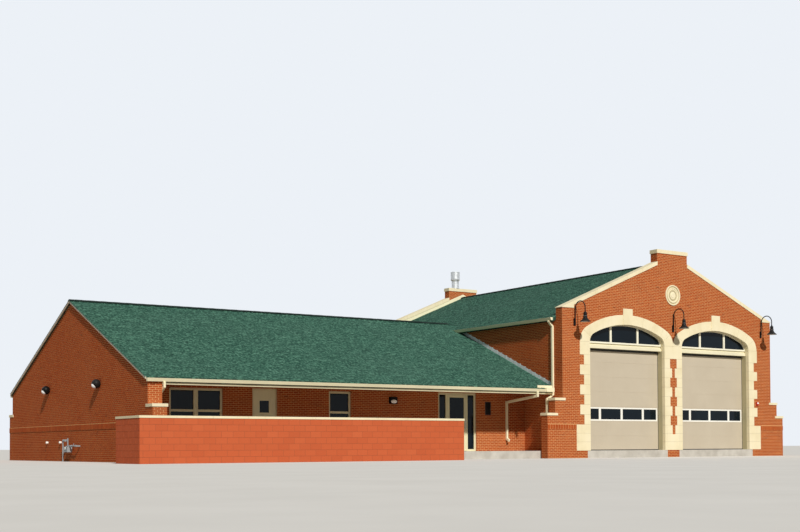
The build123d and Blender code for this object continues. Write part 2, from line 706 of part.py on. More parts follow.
cap_line = [(-RIDGE_CAP, -RIDGE_CAP), (0, 0), (RIDGE_CAP, -RIDGE_CAP)]
bay_cap = slab_xz(
    [(BAY_CENTRE + a, RIDGE_HEIGHT + BAY_SLOPE * b) for a, b in cap_line]
    + [(BAY_CENTRE + a, RIDGE_HEIGHT + BAY_SLOPE * b + RIDGE_CAP_THICKNESS) for a, b in reversed(cap_line)],
    END_WALL, BAY_REAR)
wing_cap = slab_yz(
    [(WING_MIDDLE + a, WING_RIDGE_HEIGHT + WING_SLOPE * b) for a, b in cap_line]
    + [(WING_MIDDLE + a, WING_RIDGE_HEIGHT + WING_SLOPE * b + RIDGE_CAP_THICKNESS)
       for a, b in reversed(cap_line)],
    board_end, BAY_CENTRE) - bay_outside
write("ridge_caps", bay_cap, wing_cap)

rake_board = slab_yz(
    [(EAVE_LINE, WING_EAVE_HEIGHT - RAKE_BOARD_HEIGHT), (WING_MIDDLE, WING_RIDGE_HEIGHT - RAKE_BOARD_HEIGHT),
     (REAR_EAVE_LINE, WING_EAVE_HEIGHT - RAKE_BOARD_HEIGHT), (REAR_EAVE_LINE, WING_EAVE_HEIGHT),
     (WING_MIDDLE, WING_RIDGE_HEIGHT), (EAVE_LINE, WING_EAVE_HEIGHT)], board_end - RAKE_BOARD, board_end)
write("rake_board", rake_board)

# Wing end wall with its stepped piers

pier_back = WING_FRONT + WING_BUTTRESS
pier = slab_yz(
    [(WING_STEP, 0), (pier_back, 0), (pier_back, wing_edge_under(pier_back)),
     (WING_FRONT, wing_edge_under(WING_FRONT)), (WING_FRONT, WING_BUTTRESS_TOP),
     (WING_STEP, WING_BUTTRESS_TOP)], WING_END, pier_right)
pier_cap = block(WING_END - CAP_OVERHANG, pier_right + CAP_OVERHANG, WING_STEP - CAP_OVERHANG,
                 WING_FRONT + CAP_LAP, WING_BUTTRESS_TOP, WING_BUTTRESS_TOP + CAP_HEIGHT)
gable_wall = slab_yz(
    [(pier_back, 0), (2 * WING_MIDDLE - pier_back, 0),
     (2 * WING_MIDDLE - pier_back, wing_edge_under(pier_back)),
     (WING_MIDDLE, wing_edge_under(WING_MIDDLE)), (pier_back, wing_edge_under(pier_back))],
    WING_END, WING_END + WING_WALL)
wing_caps = [pier_cap, other_slope(pier_cap)]
write("wing_gable_wall", gable_wall)
write("porch_corner_pier", pier - pier_cap)
write("wing_rear_pier", other_slope(pier - pier_cap))
write("buttress_caps", *front_caps, *rear_caps, *wing_caps)

# Wall behind the porch, in the pieces beside and over its doorways

def porch_wall_piece(x0, x1, foot):
    return slab_yz(
        [(PORCH_WALL, foot), (PORCH_WALL_BACK, foot),
         (PORCH_WALL_BACK, wing_roof_under(PORCH_WALL_BACK)), (PORCH_WALL, wing_roof_under(PORCH_WALL))],
        x0, x1)


double_left = WING_END + DOUBLE_WINDOW_PLACE
double_right = double_left + DOUBLE_WINDOW_WIDTH
single_left = WING_END + SINGLE_WINDOW_PLACE
single_right = single_left + SINGLE_WINDOW_WIDTH
porch_door_left = WING_END + PORCH_DOOR_PLACE
porch_door_right = porch_door_left + PORCH_DOOR_WIDTH
entry_left = -ENTRY_FROM_BAY
entry_right = entry_left + ENTRY_WIDTH
frame_front = PORCH_WALL + FRAME_SETBACK
frame_back = frame_front + FRAME_DEPTH

west = porch_wall_piece(WING_END + WING_WALL, porch_door_left, 0)
west -= block(double_left, double_right, PORCH_WALL, PORCH_WALL_BACK, WINDOW_SILL, WINDOW_HEAD)
middle = porch_wall_piece(porch_door_right, entry_left, 0)
middle -= block(single_left, single_right, PORCH_WALL, PORCH_WALL_BACK, WINDOW_SILL, WINDOW_HEAD)
write("porch_wall_west", west)
write("porch_wall_middle", middle)
write("porch_wall_east", porch_wall_piece(entry_right, 0, 0))
write("porch_wall_over_doors", porch_wall_piece(porch_door_left, porch_door_right, PORCH_DOOR_HEAD),
      porch_wall_piece(entry_left, entry_right, ENTRY_HEAD))

# Wing rear wall

rear_inside = WING_REAR - WING_WALL
wing_rear_wall = slab_yz(
    [(rear_inside, 0), (WING_REAR, 0), (WING_REAR, wing_roof_under(WING_REAR)),
     (rear_inside, wing_roof_under(rear_inside))], pier_right, 0)
window_pitch = -pier_right / REAR_WINDOWS
rear_window_lefts = [pier_right + (i + 0.5) * window_pitch - REAR_WINDOW_WIDTH / 2
                     for i in range(REAR_WINDOWS)]
for left in rear_window_lefts:
    wing_rear_wall -= block(left, left + REAR_WINDOW_WIDTH, rear_inside, WING_REAR, WINDOW_SILL, WINDOW_HEAD)
write("wing_rear_wall", wing_rear_wall - wing_caps[1])

# Windows of the wing

windows = [
    window(double_left, double_right, frame_front, WINDOW_SILL, WINDOW_HEAD,
           [(double_left + double_right) / 2]),
    window(single_left, single_right, frame_front, WINDOW_SILL, WINDOW_HEAD),
]
for left in rear_window_lefts:
    windows.append(window(left, left + REAR_WINDOW_WIDTH, WING_REAR - FRAME_SETBACK - FRAME_DEPTH,
                          WINDOW_SILL, WINDOW_HEAD))
write("wing_window_frames", *[frame for frame, panes in windows])
write("wing_window_glass", *[pane for frame, panes in windows for pane in panes])

# Entry: a glazed door between two sidelights

door_left = entry_left + ENTRY_DOOR_PLACE
door_right = door_left + DOOR_LEAF_WIDTH
door_head = ENTRY_HEAD - WINDOW_FRAME
light = (door_left + DOOR_GAP + STILE, door_right - DOOR_GAP - STILE, FLOOR_GAP + BOTTOM_RAIL,
         door_head - DOOR_GAP - STILE)
entry_door, entry_pane, fixed = hinged_door(door_left, door_right, frame_front, door_head, light)
entry_frame = block(entry_left, entry_right, frame_front, frame_back, 0, ENTRY_HEAD)
entry_frame -= block(door_left, door_right, frame_front, frame_back, 0, door_head)
sidelights = []
frame_middle = (frame_front + frame_back) / 2
for x0, x1 in ((entry_left, door_left), (door_right, entry_right)):
    pane_left = x0 + WINDOW_FRAME
    pane_right = x1 - WINDOW_FRAME
    entry_frame -= block(pane_left, pane_right, frame_front, frame_back, WINDOW_FRAME, door_head)
    sidelights.append(block(pane_left, pane_right, frame_middle - GLASS / 2, frame_middle + GLASS / 2,
                            WINDOW_FRAME, door_head))
write("entry_frame", entry_frame + fixed)
write("entry_sidelights", *sidelights)
write("entry_door", entry_door)
write("entry_door_glass", entry_pane)

# Porch door: a plain leaf with one small light

leaf_left = porch_door_left + PORCH_DOOR_FRAME
leaf_right = leaf_left + DOOR_LEAF_WIDTH
leaf_middle = (leaf_left + leaf_right) / 2
porch_head = PORCH_DOOR_HEAD - PORCH_DOOR_FRAME
light = (leaf_middle - PORCH_LITE_WIDTH / 2, leaf_middle + PORCH_LITE_WIDTH / 2, PORCH_LITE_BOTTOM,
         PORCH_LITE_TOP)
porch_door, porch_pane, fixed = hinged_door(leaf_left, leaf_right, frame_front, porch_head, light)
porch_frame = block(porch_door_left, porch_door_right, frame_front, frame_back, 0, PORCH_DOOR_HEAD)
porch_frame -= block(leaf_left, leaf_right, frame_front, frame_back, 0, porch_head)
write("porch_door_frame", porch_frame + fixed)
write("porch_door", porch_door)
write("porch_door_glass", porch_pane)

# Overhead doors and arched lights

front_doors = [overhead_door(left, left + DOOR_WIDTH, END_WALL + LEAF_GAP, BEAM_BOTTOM + BEAM_HEIGHT)
               for left in DOORWAYS]
rear_doors = [overhead_door(left, left + DOOR_WIDTH, BAY_REAR - LEAF_GAP - LEAF,
                            REAR_DOOR_HEIGHT + LEAF_LAP) for left in DOORWAYS]
transoms = [transom(centre) for centre in DOOR_CENTRES]
write("front_bay_doors", *[leaf for leaf, strip, panes in front_doors])
write("rear_bay_doors", *[leaf for leaf, strip, panes in rear_doors])
write("bay_door_window_strips", *[strip for leaf, strip, panes in front_doors + rear_doors])
write("transom_frames", *[frame for frame, panes in transoms])
write("bay_glass", *[pane for door in front_doors + rear_doors for pane in door[2]],
      *[pane for frame, panes in transoms for pane in panes])

# Belt of bricks on end, a little proud of the walls

belt_top = BELT_BOTTOM + BELT_HEIGHT
left_belt = block(-BUTTRESS_OUT, SIDE_PIER - BASE_STONE, -PROUD, 0, BELT_BOTTOM, belt_top)
rear_pier_belt = block(BAY_WIDTH - SIDE_PIER, BAY_WIDTH + BUTTRESS_OUT, BAY_DEPTH, BAY_DEPTH + PROUD,
                       BELT_BOTTOM, belt_top)
side_belt = block(BAY_WIDTH, BAY_WIDTH + PROUD, END_WALL, BAY_REAR, BELT_BOTTOM, belt_top)
gable_belt = block(WING_END - PROUD, WING_END, WING_STEP, WING_REAR + WING_BUTTRESS, BELT_BOTTOM, belt_top)
write("belt_course", left_belt, other_side(left_belt), rear_pier_belt, side_belt, gable_belt)

# Porch ceiling and beam, notched for the bay's downspout

ceiling = block(WING_END + WING_WALL, 0, WING_FRONT + PORCH_BEAM, PORCH_WALL, CEILING,
                CEILING + CEILING_BOARD)
beam_back = WING_FRONT + PORCH_BEAM
beam = slab_yz(
    [(WING_FRONT, PORCH_BEAM_BOTTOM), (beam_back, PORCH_BEAM_BOTTOM),
     (beam_back, wing_roof_under(beam_back)), (WING_FRONT, wing_roof_under(WING_FRONT))], pier_right, 0)
write("porch_ceiling", ceiling - pier - notch)
write("porch_beam", beam - notch)

# Gutters

wing_gutter_top = WING_EAVE_HEIGHT - GUTTER_DROP
wing_gutter = Pos(board_end, EAVE_LINE, wing_gutter_top) * gutter(-board_end - EAVE_BOX)
rear_gutter = other_slope(Pos(board_end, EAVE_LINE, wing_gutter_top) * gutter(-board_end))
bay_gutter_top = bay_roof_top(eave) - GUTTER_DROP / 2
right_gutter = Pos(BAY_WIDTH + BAY_EAVE, END_WALL, bay_gutter_top)
right_gutter *= Rot(0, 0, 90) * gutter(BAY_REAR - END_WALL)
wing_outside = slab_yz(
    [(EAVE_LINE, 0), (EAVE_LINE, WING_EAVE_HEIGHT), (WING_MIDDLE, WING_RIDGE_HEIGHT),
     (REAR_EAVE_LINE, WING_EAVE_HEIGHT), (REAR_EAVE_LINE, 0)], WING_END, BAY_CENTRE)
left_gutter = other_side(right_gutter) - wing_outside
write("gutters", wing_gutter, rear_gutter, left_gutter, right_gutter)

# Boxed end of the wing's eave, with the upstand that turns water off the wall

box_right = -PIPE_NOTCH
eave_box = block(-EAVE_BOX, box_right, EAVE_LINE - GUTTER, EAVE_LINE, wing_gutter_top - GUTTER_HEIGHT,
                 wing_gutter_top + EAVE_BOX_RISE)
upstand_back = EAVE_LINE + DIVERTER_PLATE
eave_box += slab_yz(
    [(EAVE_LINE, WING_EAVE_HEIGHT), (upstand_back, wing_roof_top(upstand_back)),
     (upstand_back, WING_EAVE_HEIGHT + DIVERTER_HEIGHT), (EAVE_LINE, WING_EAVE_HEIGHT + DIVERTER_HEIGHT)],
    box_right - DIVERTER, box_right)
write("eave_box", eave_box)

# Downspouts, each from a gutter to a wall and down to its shoe

half_width = PIPE_WIDTH / 2
half_depth = PIPE_DEPTH / 2
front_gutter_mid = EAVE_LINE - GUTTER / 2
wing_gutter_foot = wing_gutter_top - GUTTER_HEIGHT
bay_gutter_foot = bay_gutter_top - GUTTER_HEIGHT
bay_gutter_mid = eave - GUTTER / 2


def wall_pipe(x, y0, y1, foot):
    """From a wing gutter at y0 back to a wall face at y1, and down to its shoe."""
    away = math.copysign(PIPE_SHOE, y0 - y1)
    wall_line = y1 + math.copysign(half_depth, y0 - y1)
    return pipe(
        (x, y0, wing_gutter_foot), (x, y0, wing_gutter_foot - PORCH_PIPE_DROP),
        (x, wall_line, wing_gutter_foot - PORCH_PIPE_DROP - PIPE_SLANT), (x, wall_line, foot),
        (x, wall_line + away, foot - PIPE_SHOE / 2))


def bay_pipe(proud, *lower):
    """From the bay's left gutter back to its side wall, and down."""
    wall_line = -proud - half_width
    return pipe(
        (bay_gutter_mid, BAY_PIPE_PLACE, bay_gutter_foot),
        (bay_gutter_mid, BAY_PIPE_PLACE, bay_gutter_foot - PIPE_DROP),
        (wall_line, BAY_PIPE_PLACE, bay_gutter_foot - PIPE_DROP - PIPE_SLANT),
        *[(wall_line - out, BAY_PIPE_PLACE, z) for out, z in lower])


last_step = BUTTRESS_STEP - PIPE_DEPTH
spouts = [
    bay_pipe(0, (0, PORCH_BEAM_BOTTOM), (last_step, PORCH_BEAM_BOTTOM - PIPE_SLANT), (last_step, PIPE_FOOT),
             (last_step + PIPE_SHOE, PIPE_FOOT - PIPE_SHOE / 2)),
    other_side(bay_pipe(PROUD, (0, PIPE_FOOT), (PIPE_SHOE, PIPE_FOOT - PIPE_SHOE / 2))),
    wall_pipe(-PORCH_PIPE_PLACE, front_gutter_mid, PORCH_WALL, PORCH_PIPE_FOOT),
    wall_pipe(pier_right + half_width, front_gutter_mid, pier_back - PIPE_DEPTH, PIPE_FOOT),
]
for span in REAR_PIPE_SPANS:
    spouts.append(wall_pipe(pier_right + span * window_pitch, 2 * WING_MIDDLE - front_gutter_mid,
                            WING_REAR, PIPE_FOOT))
write("downspouts", *spouts)

# Flashing where the wing's roof meets the bay's wall

flashing = slab_yz(
    [(BAY_PIPE_PLACE + PIPE_NOTCH, wing_roof_top(BAY_PIPE_PLACE + PIPE_NOTCH)),
     (WING_MIDDLE, WING_RIDGE_HEIGHT), (WING_MIDDLE, WING_RIDGE_HEIGHT + FLASHING),
     (BAY_PIPE_PLACE + PIPE_NOTCH, wing_roof_top(BAY_PIPE_PLACE + PIPE_NOTCH) + FLASHING)],
    -FLASHING_THICKNESS, 0)
flashing &= block(-FLASHING_THICKNESS, 0, 0, BAY_DEPTH, 0, bay_roof_under(-FLASHING_THICKNESS))
write("roof_flashing", flashing, other_slope(flashing))

# Screen wall and its coping, open at the right end

screen_back_end = WING_STEP + SCREEN_THICKNESS


def screen_walls(lap, end, foot, top):
    """The long wall, the return at its left end and the short piece to the wing."""
    walls = block(SCREEN_LEFT - lap, SCREEN_RIGHT + lap, SCREEN_FRONT - lap, SCREEN_BACK + lap, foot, top)
    walls += block(SCREEN_LEFT - lap, SCREEN_LEFT + SCREEN_THICKNESS + lap, SCREEN_FRONT - lap,
                   screen_back_end + lap, foot, top)
    return walls + block(SCREEN_LEFT - lap, end, WING_STEP - lap, screen_back_end + lap, foot, top)


coping_end = WING_END - PROUD
write("screen_wall", screen_walls(0, WING_END, -PLINTH, SCREEN_TOP) - gable_belt)
write("screen_coping",
      screen_walls(SCREEN_OVERHANG, coping_end, SCREEN_TOP, SCREEN_TOP + SCREEN_COPING))

# Flue on the rear wall's raised block

upright = (Align.CENTER, Align.CENTER, Align.MIN)
flue_at = Pos(BAY_CENTRE + FLUE_FROM_CENTRE, BAY_DEPTH - END_WALL / 2, BLOCK_TOP)
flue = Cylinder(FLUE_RADIUS, FLUE_HEIGHT, align=upright)
flue += Pos(0, 0, FLUE_HEIGHT) * Cylinder(FLUE_HOOD_RADIUS, FLUE_HOOD_HEIGHT, align=upright)
write("flue", flue_at * flue)

# Lamps and lights

write("gooseneck_lamps", *[lamp(x) for x in (LAMP_INSET, BAY_CENTRE, BAY_WIDTH - LAMP_INSET)])
porch_light_left = WING_END + PORCH_LIGHT_PLACE
write("wall_lights", *[gable_light(WING_FRONT + y) for y in GABLE_LIGHTS],
      block(porch_light_left, porch_light_left + PORCH_LIGHT[0], PORCH_WALL - PORCH_LIGHT[1], PORCH_WALL,
            PORCH_LIGHT_HEIGHT, PORCH_LIGHT_HEIGHT + PORCH_LIGHT[2]))
write("gas_meter", gas_meter())
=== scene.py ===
import json
import math
import random

import bmesh
import bpy
from mathutils import Matrix, Vector


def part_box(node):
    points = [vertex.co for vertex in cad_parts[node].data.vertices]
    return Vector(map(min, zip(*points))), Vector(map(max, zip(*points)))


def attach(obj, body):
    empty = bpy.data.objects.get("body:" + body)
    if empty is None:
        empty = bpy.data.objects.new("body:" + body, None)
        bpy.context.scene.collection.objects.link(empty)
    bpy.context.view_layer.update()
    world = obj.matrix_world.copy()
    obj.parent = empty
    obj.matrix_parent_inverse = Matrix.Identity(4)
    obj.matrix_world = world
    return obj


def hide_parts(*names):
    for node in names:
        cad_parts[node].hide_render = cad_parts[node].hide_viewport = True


# Fire station: brick, cast stone, shingles and fittings laid over the frame.
# Metres. Pieces are worked out from the bay's front left corner at floor level,
# with +X along the front and +Y to the back, and moved to the frame at the end.

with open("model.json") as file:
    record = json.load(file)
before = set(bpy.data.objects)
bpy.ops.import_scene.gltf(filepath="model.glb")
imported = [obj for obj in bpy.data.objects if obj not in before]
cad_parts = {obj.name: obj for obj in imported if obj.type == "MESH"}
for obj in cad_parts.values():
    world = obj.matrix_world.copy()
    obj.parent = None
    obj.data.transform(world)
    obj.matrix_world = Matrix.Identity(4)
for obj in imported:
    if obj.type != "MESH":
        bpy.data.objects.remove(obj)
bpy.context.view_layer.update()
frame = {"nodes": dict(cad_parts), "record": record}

# Places read from the frame

SITE = Vector((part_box("bay_left_wall")[0].x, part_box("bay_floor")[0].y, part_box("bay_floor")[1].z))


def low(node):
    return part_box(node)[0] - SITE


def high(node):
    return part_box(node)[1] - SITE


GROUND = low("bay_floor").z
BAY_WIDTH = high("bay_right_wall").x
BAY_DEPTH = high("bay_floor").y
BAY_CENTRE = BAY_WIDTH / 2
END_WALL = low("bay_left_wall").y
BAY_REAR = BAY_DEPTH - END_WALL
BAY_RIDGE = high("bay_roof_left").z
BAY_EAVE = -low("bay_roof_left").x
BUTTRESS_OUT = -low("bay_left_pier").x
KNEELER_BOTTOM = low("front_coping").z
BLOCK_TOP = high("front_coping").z
WING_END = low("wing_gable_wall").x
WING_INSIDE = high("wing_gable_wall").x
WING_FRONT = low("porch_beam").y
WING_REAR = high("wing_rear_wall").y
WING_STEP = low("porch_corner_pier").y
WING_STEP_REAR = high("wing_rear_pier").y
WING_PIER = high("porch_corner_pier").x
PIER_BACK = high("porch_corner_pier").y
WING_RIDGE = high("wing_roof_front").z
WING_MIDDLE = high("wing_roof_front").y
WING_EAVE_LINE = low("wing_roof_front").y
WING_RAKE = low("wing_roof_front").x
PORCH_WALL = low("porch_wall_west").y
CEILING = low("porch_ceiling").z
BEAM_BOTTOM = low("porch_beam").z
DOOR_BEAM_BOTTOM = low("transom_frames").z
GUTTER_TOP = high("gutters").z
BELT_BOTTOM = low("belt_course").z
BELT_TOP = high("belt_course").z

# Driving sizes of the shapes that boxes don't give

BAY_SLOPE = 5 / 12
ROOF_THICKNESS = 0.18
RAKE_RISE = 0.335
RAKE_EDGE = 0.075
RAKE_OVERLAP = 0.052
SHINGLE_OVERHANG = 0.015
PARAPET_GAP = 0.008
COPING = 0.16
BLOCK_WIDTH = 1.8
BUTTRESS_TOPS = (1.41, 2.02)
WING_BUTTRESS_TOP = 1.53
WING_EAVE_TOP = 2.52
SIDE_PIER = 1.474
DOOR_WIDTH = 4.267
MIDDLE_PIER = 1.055
SPRINGING = 4.45
INNER_RISE = 0.79
INNER_HAUNCH = 0.4
ARCH_MARGIN = 0.2
BASE_STONE_TOP = 1.06
QUOIN = 0.4064
QUOIN_ROWS = 7
REAR_DOOR_HEIGHT = 4.267
GLAZED_LEVEL = 0.5
SILL_PROUD = 0.03
WALL_LAMP_SIDE = 0.65

RIGHTWARD = Vector((1, 0, 0))
BACKWARD = Vector((0, 1, 0))
UP = Vector((0, 0, 1))

BAY_SLOPE_TURN = math.atan(BAY_SLOPE)
WING_SLOPE = (WING_RIDGE - WING_EAVE_TOP) / (WING_MIDDLE - WING_EAVE_LINE)
WING_SLOPE_TURN = math.atan(WING_SLOPE)
BLOCK_LEFT = BAY_CENTRE - BLOCK_WIDTH / 2
BLOCK_RIGHT = BAY_CENTRE + BLOCK_WIDTH / 2
BUTTRESS_STEP = BUTTRESS_OUT / 2
DOORWAYS = (SIDE_PIER, SIDE_PIER + DOOR_WIDTH + MIDDLE_PIER)
HALF_DOOR = DOOR_WIDTH / 2
DOOR_CENTRES = tuple(left + HALF_DOOR for left in DOORWAYS)
CROWN_HALF = HALF_DOOR - INNER_HAUNCH
CROWN_REACH = (CROWN_HALF**2 + INNER_RISE**2 - INNER_HAUNCH**2) / (2 * (INNER_RISE - INNER_HAUNCH))
CROWN_TURN = math.atan2(CROWN_REACH - INNER_RISE, CROWN_HALF)
WING_REAR_EAVE_LINE = 2 * WING_MIDDLE - WING_EAVE_LINE
RIGHT = BAY_WIDTH + BUTTRESS_OUT

# Masonry and roofing units

BRICK = 0.2032
COURSE = BRICK / 3
JOINT = 0.010
BRICK_PROUD = 0.004
BRICK_EASE = 0.0015
SKIN_GAP = 0.0015
BLOCK = 0.4064
BLOCK_COURSE = BLOCK / 2
BLOCK_JOINT = 0.008
BLOCK_PROUD = 0.003
SCREEN_COURSES = 7
SCREEN_THICKNESS = 0.203
SMALLEST_UNIT = 0.024
SHORT_UNIT = 0.45
UNDER_CAP = 0.03
UNDER_RAKE = 0.04
BELOW_ROOF = 0.05
BELOW_FLASHING = 0.08
BACK_SKIN_DROP = 0.4
TAB = 0.085
TAB_GAP = 0.003
TAB_LIFT = 0.002
TAB_BUTTS = (0.005, 0.010)
TAB_MERGING = 0.3
SMALLEST_TAB = 0.003
EXPOSURE = 0.143
TINY = 1e-4
NEAR = 0.01


def bay_roof_top(x):
    return BAY_RIDGE - BAY_SLOPE * abs(x - BAY_CENTRE)


def rake_top(x):
    return bay_roof_top(x) + RAKE_RISE


def wing_roof_top(y):
    return WING_RIDGE - WING_SLOPE * abs(y - WING_MIDDLE)


EAVE_BOTTOM = bay_roof_top(0) - ROOF_THICKNESS


# Finishes

EVEN = (1, 1, 1)


class Finish:
    """A material whose colour, roughness and bump are built up from patterns."""

    def __init__(self, name, colour, roughness, **sockets):
        self.material = bpy.data.materials.new(name)
        self.material.use_nodes = True
        self.material.diffuse_color = (*colour, 1)
        self.nodes = self.material.node_tree.nodes
        self.skin = self.nodes["Principled BSDF"]
        self.skin.inputs["Base Color"].default_value = (*colour, 1)
        self.skin.inputs["Roughness"].default_value = roughness
        for socket, value in sockets.items():
            self.skin.inputs[socket.replace("_", " ")].default_value = value
        self.patterns = {}

    def node(self, kind, sockets=None, **settings):
        """Adds a node with its settings, and sockets fed with values or other nodes' results."""
        made = self.nodes.new(kind)
        for name, value in settings.items():
            setattr(made, name, value)
        for socket, value in (sockets or {}).items():
            self.feed(value, made.inputs[socket])
        return made

    def link(self, source, target):
        self.material.node_tree.links.new(source, target)

    def feed(self, value, socket):
        """Sets a socket to a number, a colour or a scale, or links another node's result."""
        if isinstance(value, (int, float)):
            socket.default_value = value
        elif isinstance(value, tuple):
            socket.default_value = (*value, 1)[:len(socket.default_value)]
        else:
            self.link(value, socket)

    def place(self, scale=EVEN):
        """Object coordinates, scaled."""
        where = self.node("ShaderNodeTexCoord").outputs["Object"]
        return self.node("ShaderNodeMapping", {"Vector": where, "Scale": scale}).outputs["Vector"]

    def noise(self, scale, detail=3.0, stretch=EVEN, rough=0.5):
        """A cloudy pattern. The same one is made once."""
        key = (scale, detail, stretch, rough)
        if key not in self.patterns:
            sockets = {"Vector": self.place(stretch), "Scale": scale, "Detail": detail, "Roughness": rough}
            self.patterns[key] = self.node("ShaderNodeTexNoise", sockets).outputs["Fac"]
        return self.patterns[key]

    def ramp(self, value, *stops):
        """Colours by position along a value from 0 to 1."""
        ramp = self.node("ShaderNodeValToRGB", {"Fac": value})
        points = ramp.color_ramp.elements
        while len(points) < len(stops):
            points.new(0.5)
        for point, (position, colour) in zip(points, stops):
            point.position = position
            point.color = (*colour, 1)
        return ramp.outputs["Color"]

    def between(self, value, least, most, start=0.0, end=1.0):
        """A value stretched from one range to another and clamped."""
        sockets = {"Value": value, "From Min": least, "From Max": most, "To Min": start, "To Max": end}
        return self.node("ShaderNodeMapRange", sockets).outputs["Result"]

    def sum(self, first, second, kind="ADD"):
        return self.node("ShaderNodeMath", {0: first, 1: second}, operation=kind).outputs["Value"]

    def blend(self, share, first, second):
        """Two colours mixed by a share, each a colour or another node's colour."""
        sockets = {"Factor": share, "A": first, "B": second}
        return self.node("ShaderNodeMix", sockets, data_type="RGBA").outputs["Result"]

    def stain(self, base, pattern, least, most, strength, colour):
        """A colour laid over another where a noise pattern is within a range."""
        return self.blend(self.between(self.noise(*pattern), least, most, 0, strength), base, colour)

    def paint(self, colour):
        self.link(colour, self.skin.inputs["Base Color"])

    def gloss(self, value, least, most):
        """Roughness that wanders between two values with a pattern."""
        self.link(self.between(value, 0.3, 0.7, least, most), self.skin.inputs["Roughness"])

    def relief(self, height, distance, strength):
        bump = self.node("ShaderNodeBump", {"Height": height, "Distance": distance, "Strength": strength})
        self.link(bump.outputs["Normal"], self.skin.inputs["Normal"])


def layered_finish(name, colour, roughness, shine, base, stops, stains=(), relief=None):
    """A shade along the faces' own tones or a noise pattern, stained by finer patterns.

    A stain is its pattern, the range it starts and fills in, its strength and its
    colour. The relief is its pattern, its depth and its strength.
    """
    made = Finish(name, colour, roughness, Specular_IOR_Level=shine)
    if base:
        tone = made.noise(*base)
    else:
        tone = made.node("ShaderNodeAttribute", attribute_name="tone").outputs["Fac"]
    shade = made.ramp(tone, *stops)
    for stain in stains:
        shade = made.stain(shade, *stain)
    made.paint(shade)
    if relief:
        pattern, depth, strength = relief
        made.relief(made.noise(*pattern), depth, strength)
    return made


def brickwork_finish():
    """Brick and mortar drawn in one surface, for reveals and the backs of walls."""
    made = Finish("brickwork_backing", (0.47, 0.12, 0.05), 0.9, Specular_IOR_Level=0.15)
    place = made.node("ShaderNodeSeparateXYZ", {"Vector": made.place()}).outputs
    along = made.sum(place["X"], place["Y"])
    climb = made.sum(place["Z"], SITE.z, "SUBTRACT")
    laid = made.node("ShaderNodeCombineXYZ", {"X": along, "Y": climb}).outputs["Vector"]
    bond = made.node("ShaderNodeTexBrick", {
        "Vector": laid, "Scale": 1.0, "Mortar Size": JOINT / 2, "Brick Width": BRICK, "Row Height": COURSE,
        "Mortar Smooth": 0.1, "Bias": 0.0, "Color1": (0.52, 0.11, 0.035), "Color2": (0.36, 0.07, 0.025),
        "Mortar": (0.60, 0.45, 0.31)}, offset=0.5)
    made.paint(made.stain(bond.outputs["Color"], (90, 5), 0.5, 0.8, 0.3, (0.25, 0.06, 0.03)))
    made.relief(made.sum(1.0, bond.outputs["Fac"], "SUBTRACT"), 0.006, 0.7)
    return made


def painted_finish(name, colour, roughness=0.45, soil=0.12, **sockets):
    """Paint with a faint orange peel, chalking in patches and rain streaks."""
    made = Finish(name, colour, roughness, **sockets)
    dull = tuple(channel * 0.72 for channel in colour)
    pale = tuple(min(1, channel * 1.07 + 0.01) for channel in colour)
    patches = made.stain(colour, (1.1, 4), 0.35, 0.7, 1.0, pale)
    made.paint(made.stain(patches, (7, 4, (1, 1, 0.1)), 0.52, 0.8, soil * 2, dull))
    made.gloss(made.noise(3, 3), max(0.1, roughness - 0.1), min(1, roughness + 0.12))
    made.relief(made.noise(420, 2), 0.0003, 0.25)
    return made


def ribbed_door_finish():
    """Tan sectional door skin: woodgrain-like stucco texture and fine pin stripes."""
    made = Finish("tan_door_skin", (0.56, 0.49, 0.375), 0.5, Specular_IOR_Level=0.3)
    clouds = made.stain((0.54, 0.47, 0.36), (0.9, 4), 0.3, 0.7, 1.0, (0.58, 0.51, 0.395))
    made.paint(made.stain(clouds, (6, 4, (1, 1, 0.08)), 0.55, 0.85, 0.18, (0.50, 0.42, 0.30)))
    stripes = made.node("ShaderNodeTexWave", {"Vector": made.place(), "Scale": 3.3}, bands_direction="Z",
                        wave_profile="SAW")
    raised = made.sum(stripes.outputs["Fac"], 0.4, "MULTIPLY")
    made.relief(made.sum(raised, made.noise(180, 2)), 0.0012, 0.35)
    return made


def metal_finish(name, colour, roughness, metallic=1.0):
    made = Finish(name, colour, roughness, Metallic=metallic)
    dull = tuple(channel * 0.75 for channel in colour)
    made.paint(made.stain(colour, (9, 4), 0.35, 0.7, 1.0, dull))
    made.gloss(made.noise(14, 4), roughness - 0.08, roughness + 0.14)
    made.relief(made.noise(90, 3), 0.0005, 0.25)
    return made


def glass_finish(name, colour, roughness=0.04):
    """Dark tinted glazing or a lens: gloss over a deep colour, with a faint wave."""
    made = Finish(name, colour, roughness, IOR=1.5, Specular_IOR_Level=0.14)
    made.paint(made.stain(colour, (0.8, 2), 0.35, 0.7, 1.0, tuple(channel * 1.5 for channel in colour)))
    made.relief(made.noise(2.5, 1), 0.002, 0.15)
    return made


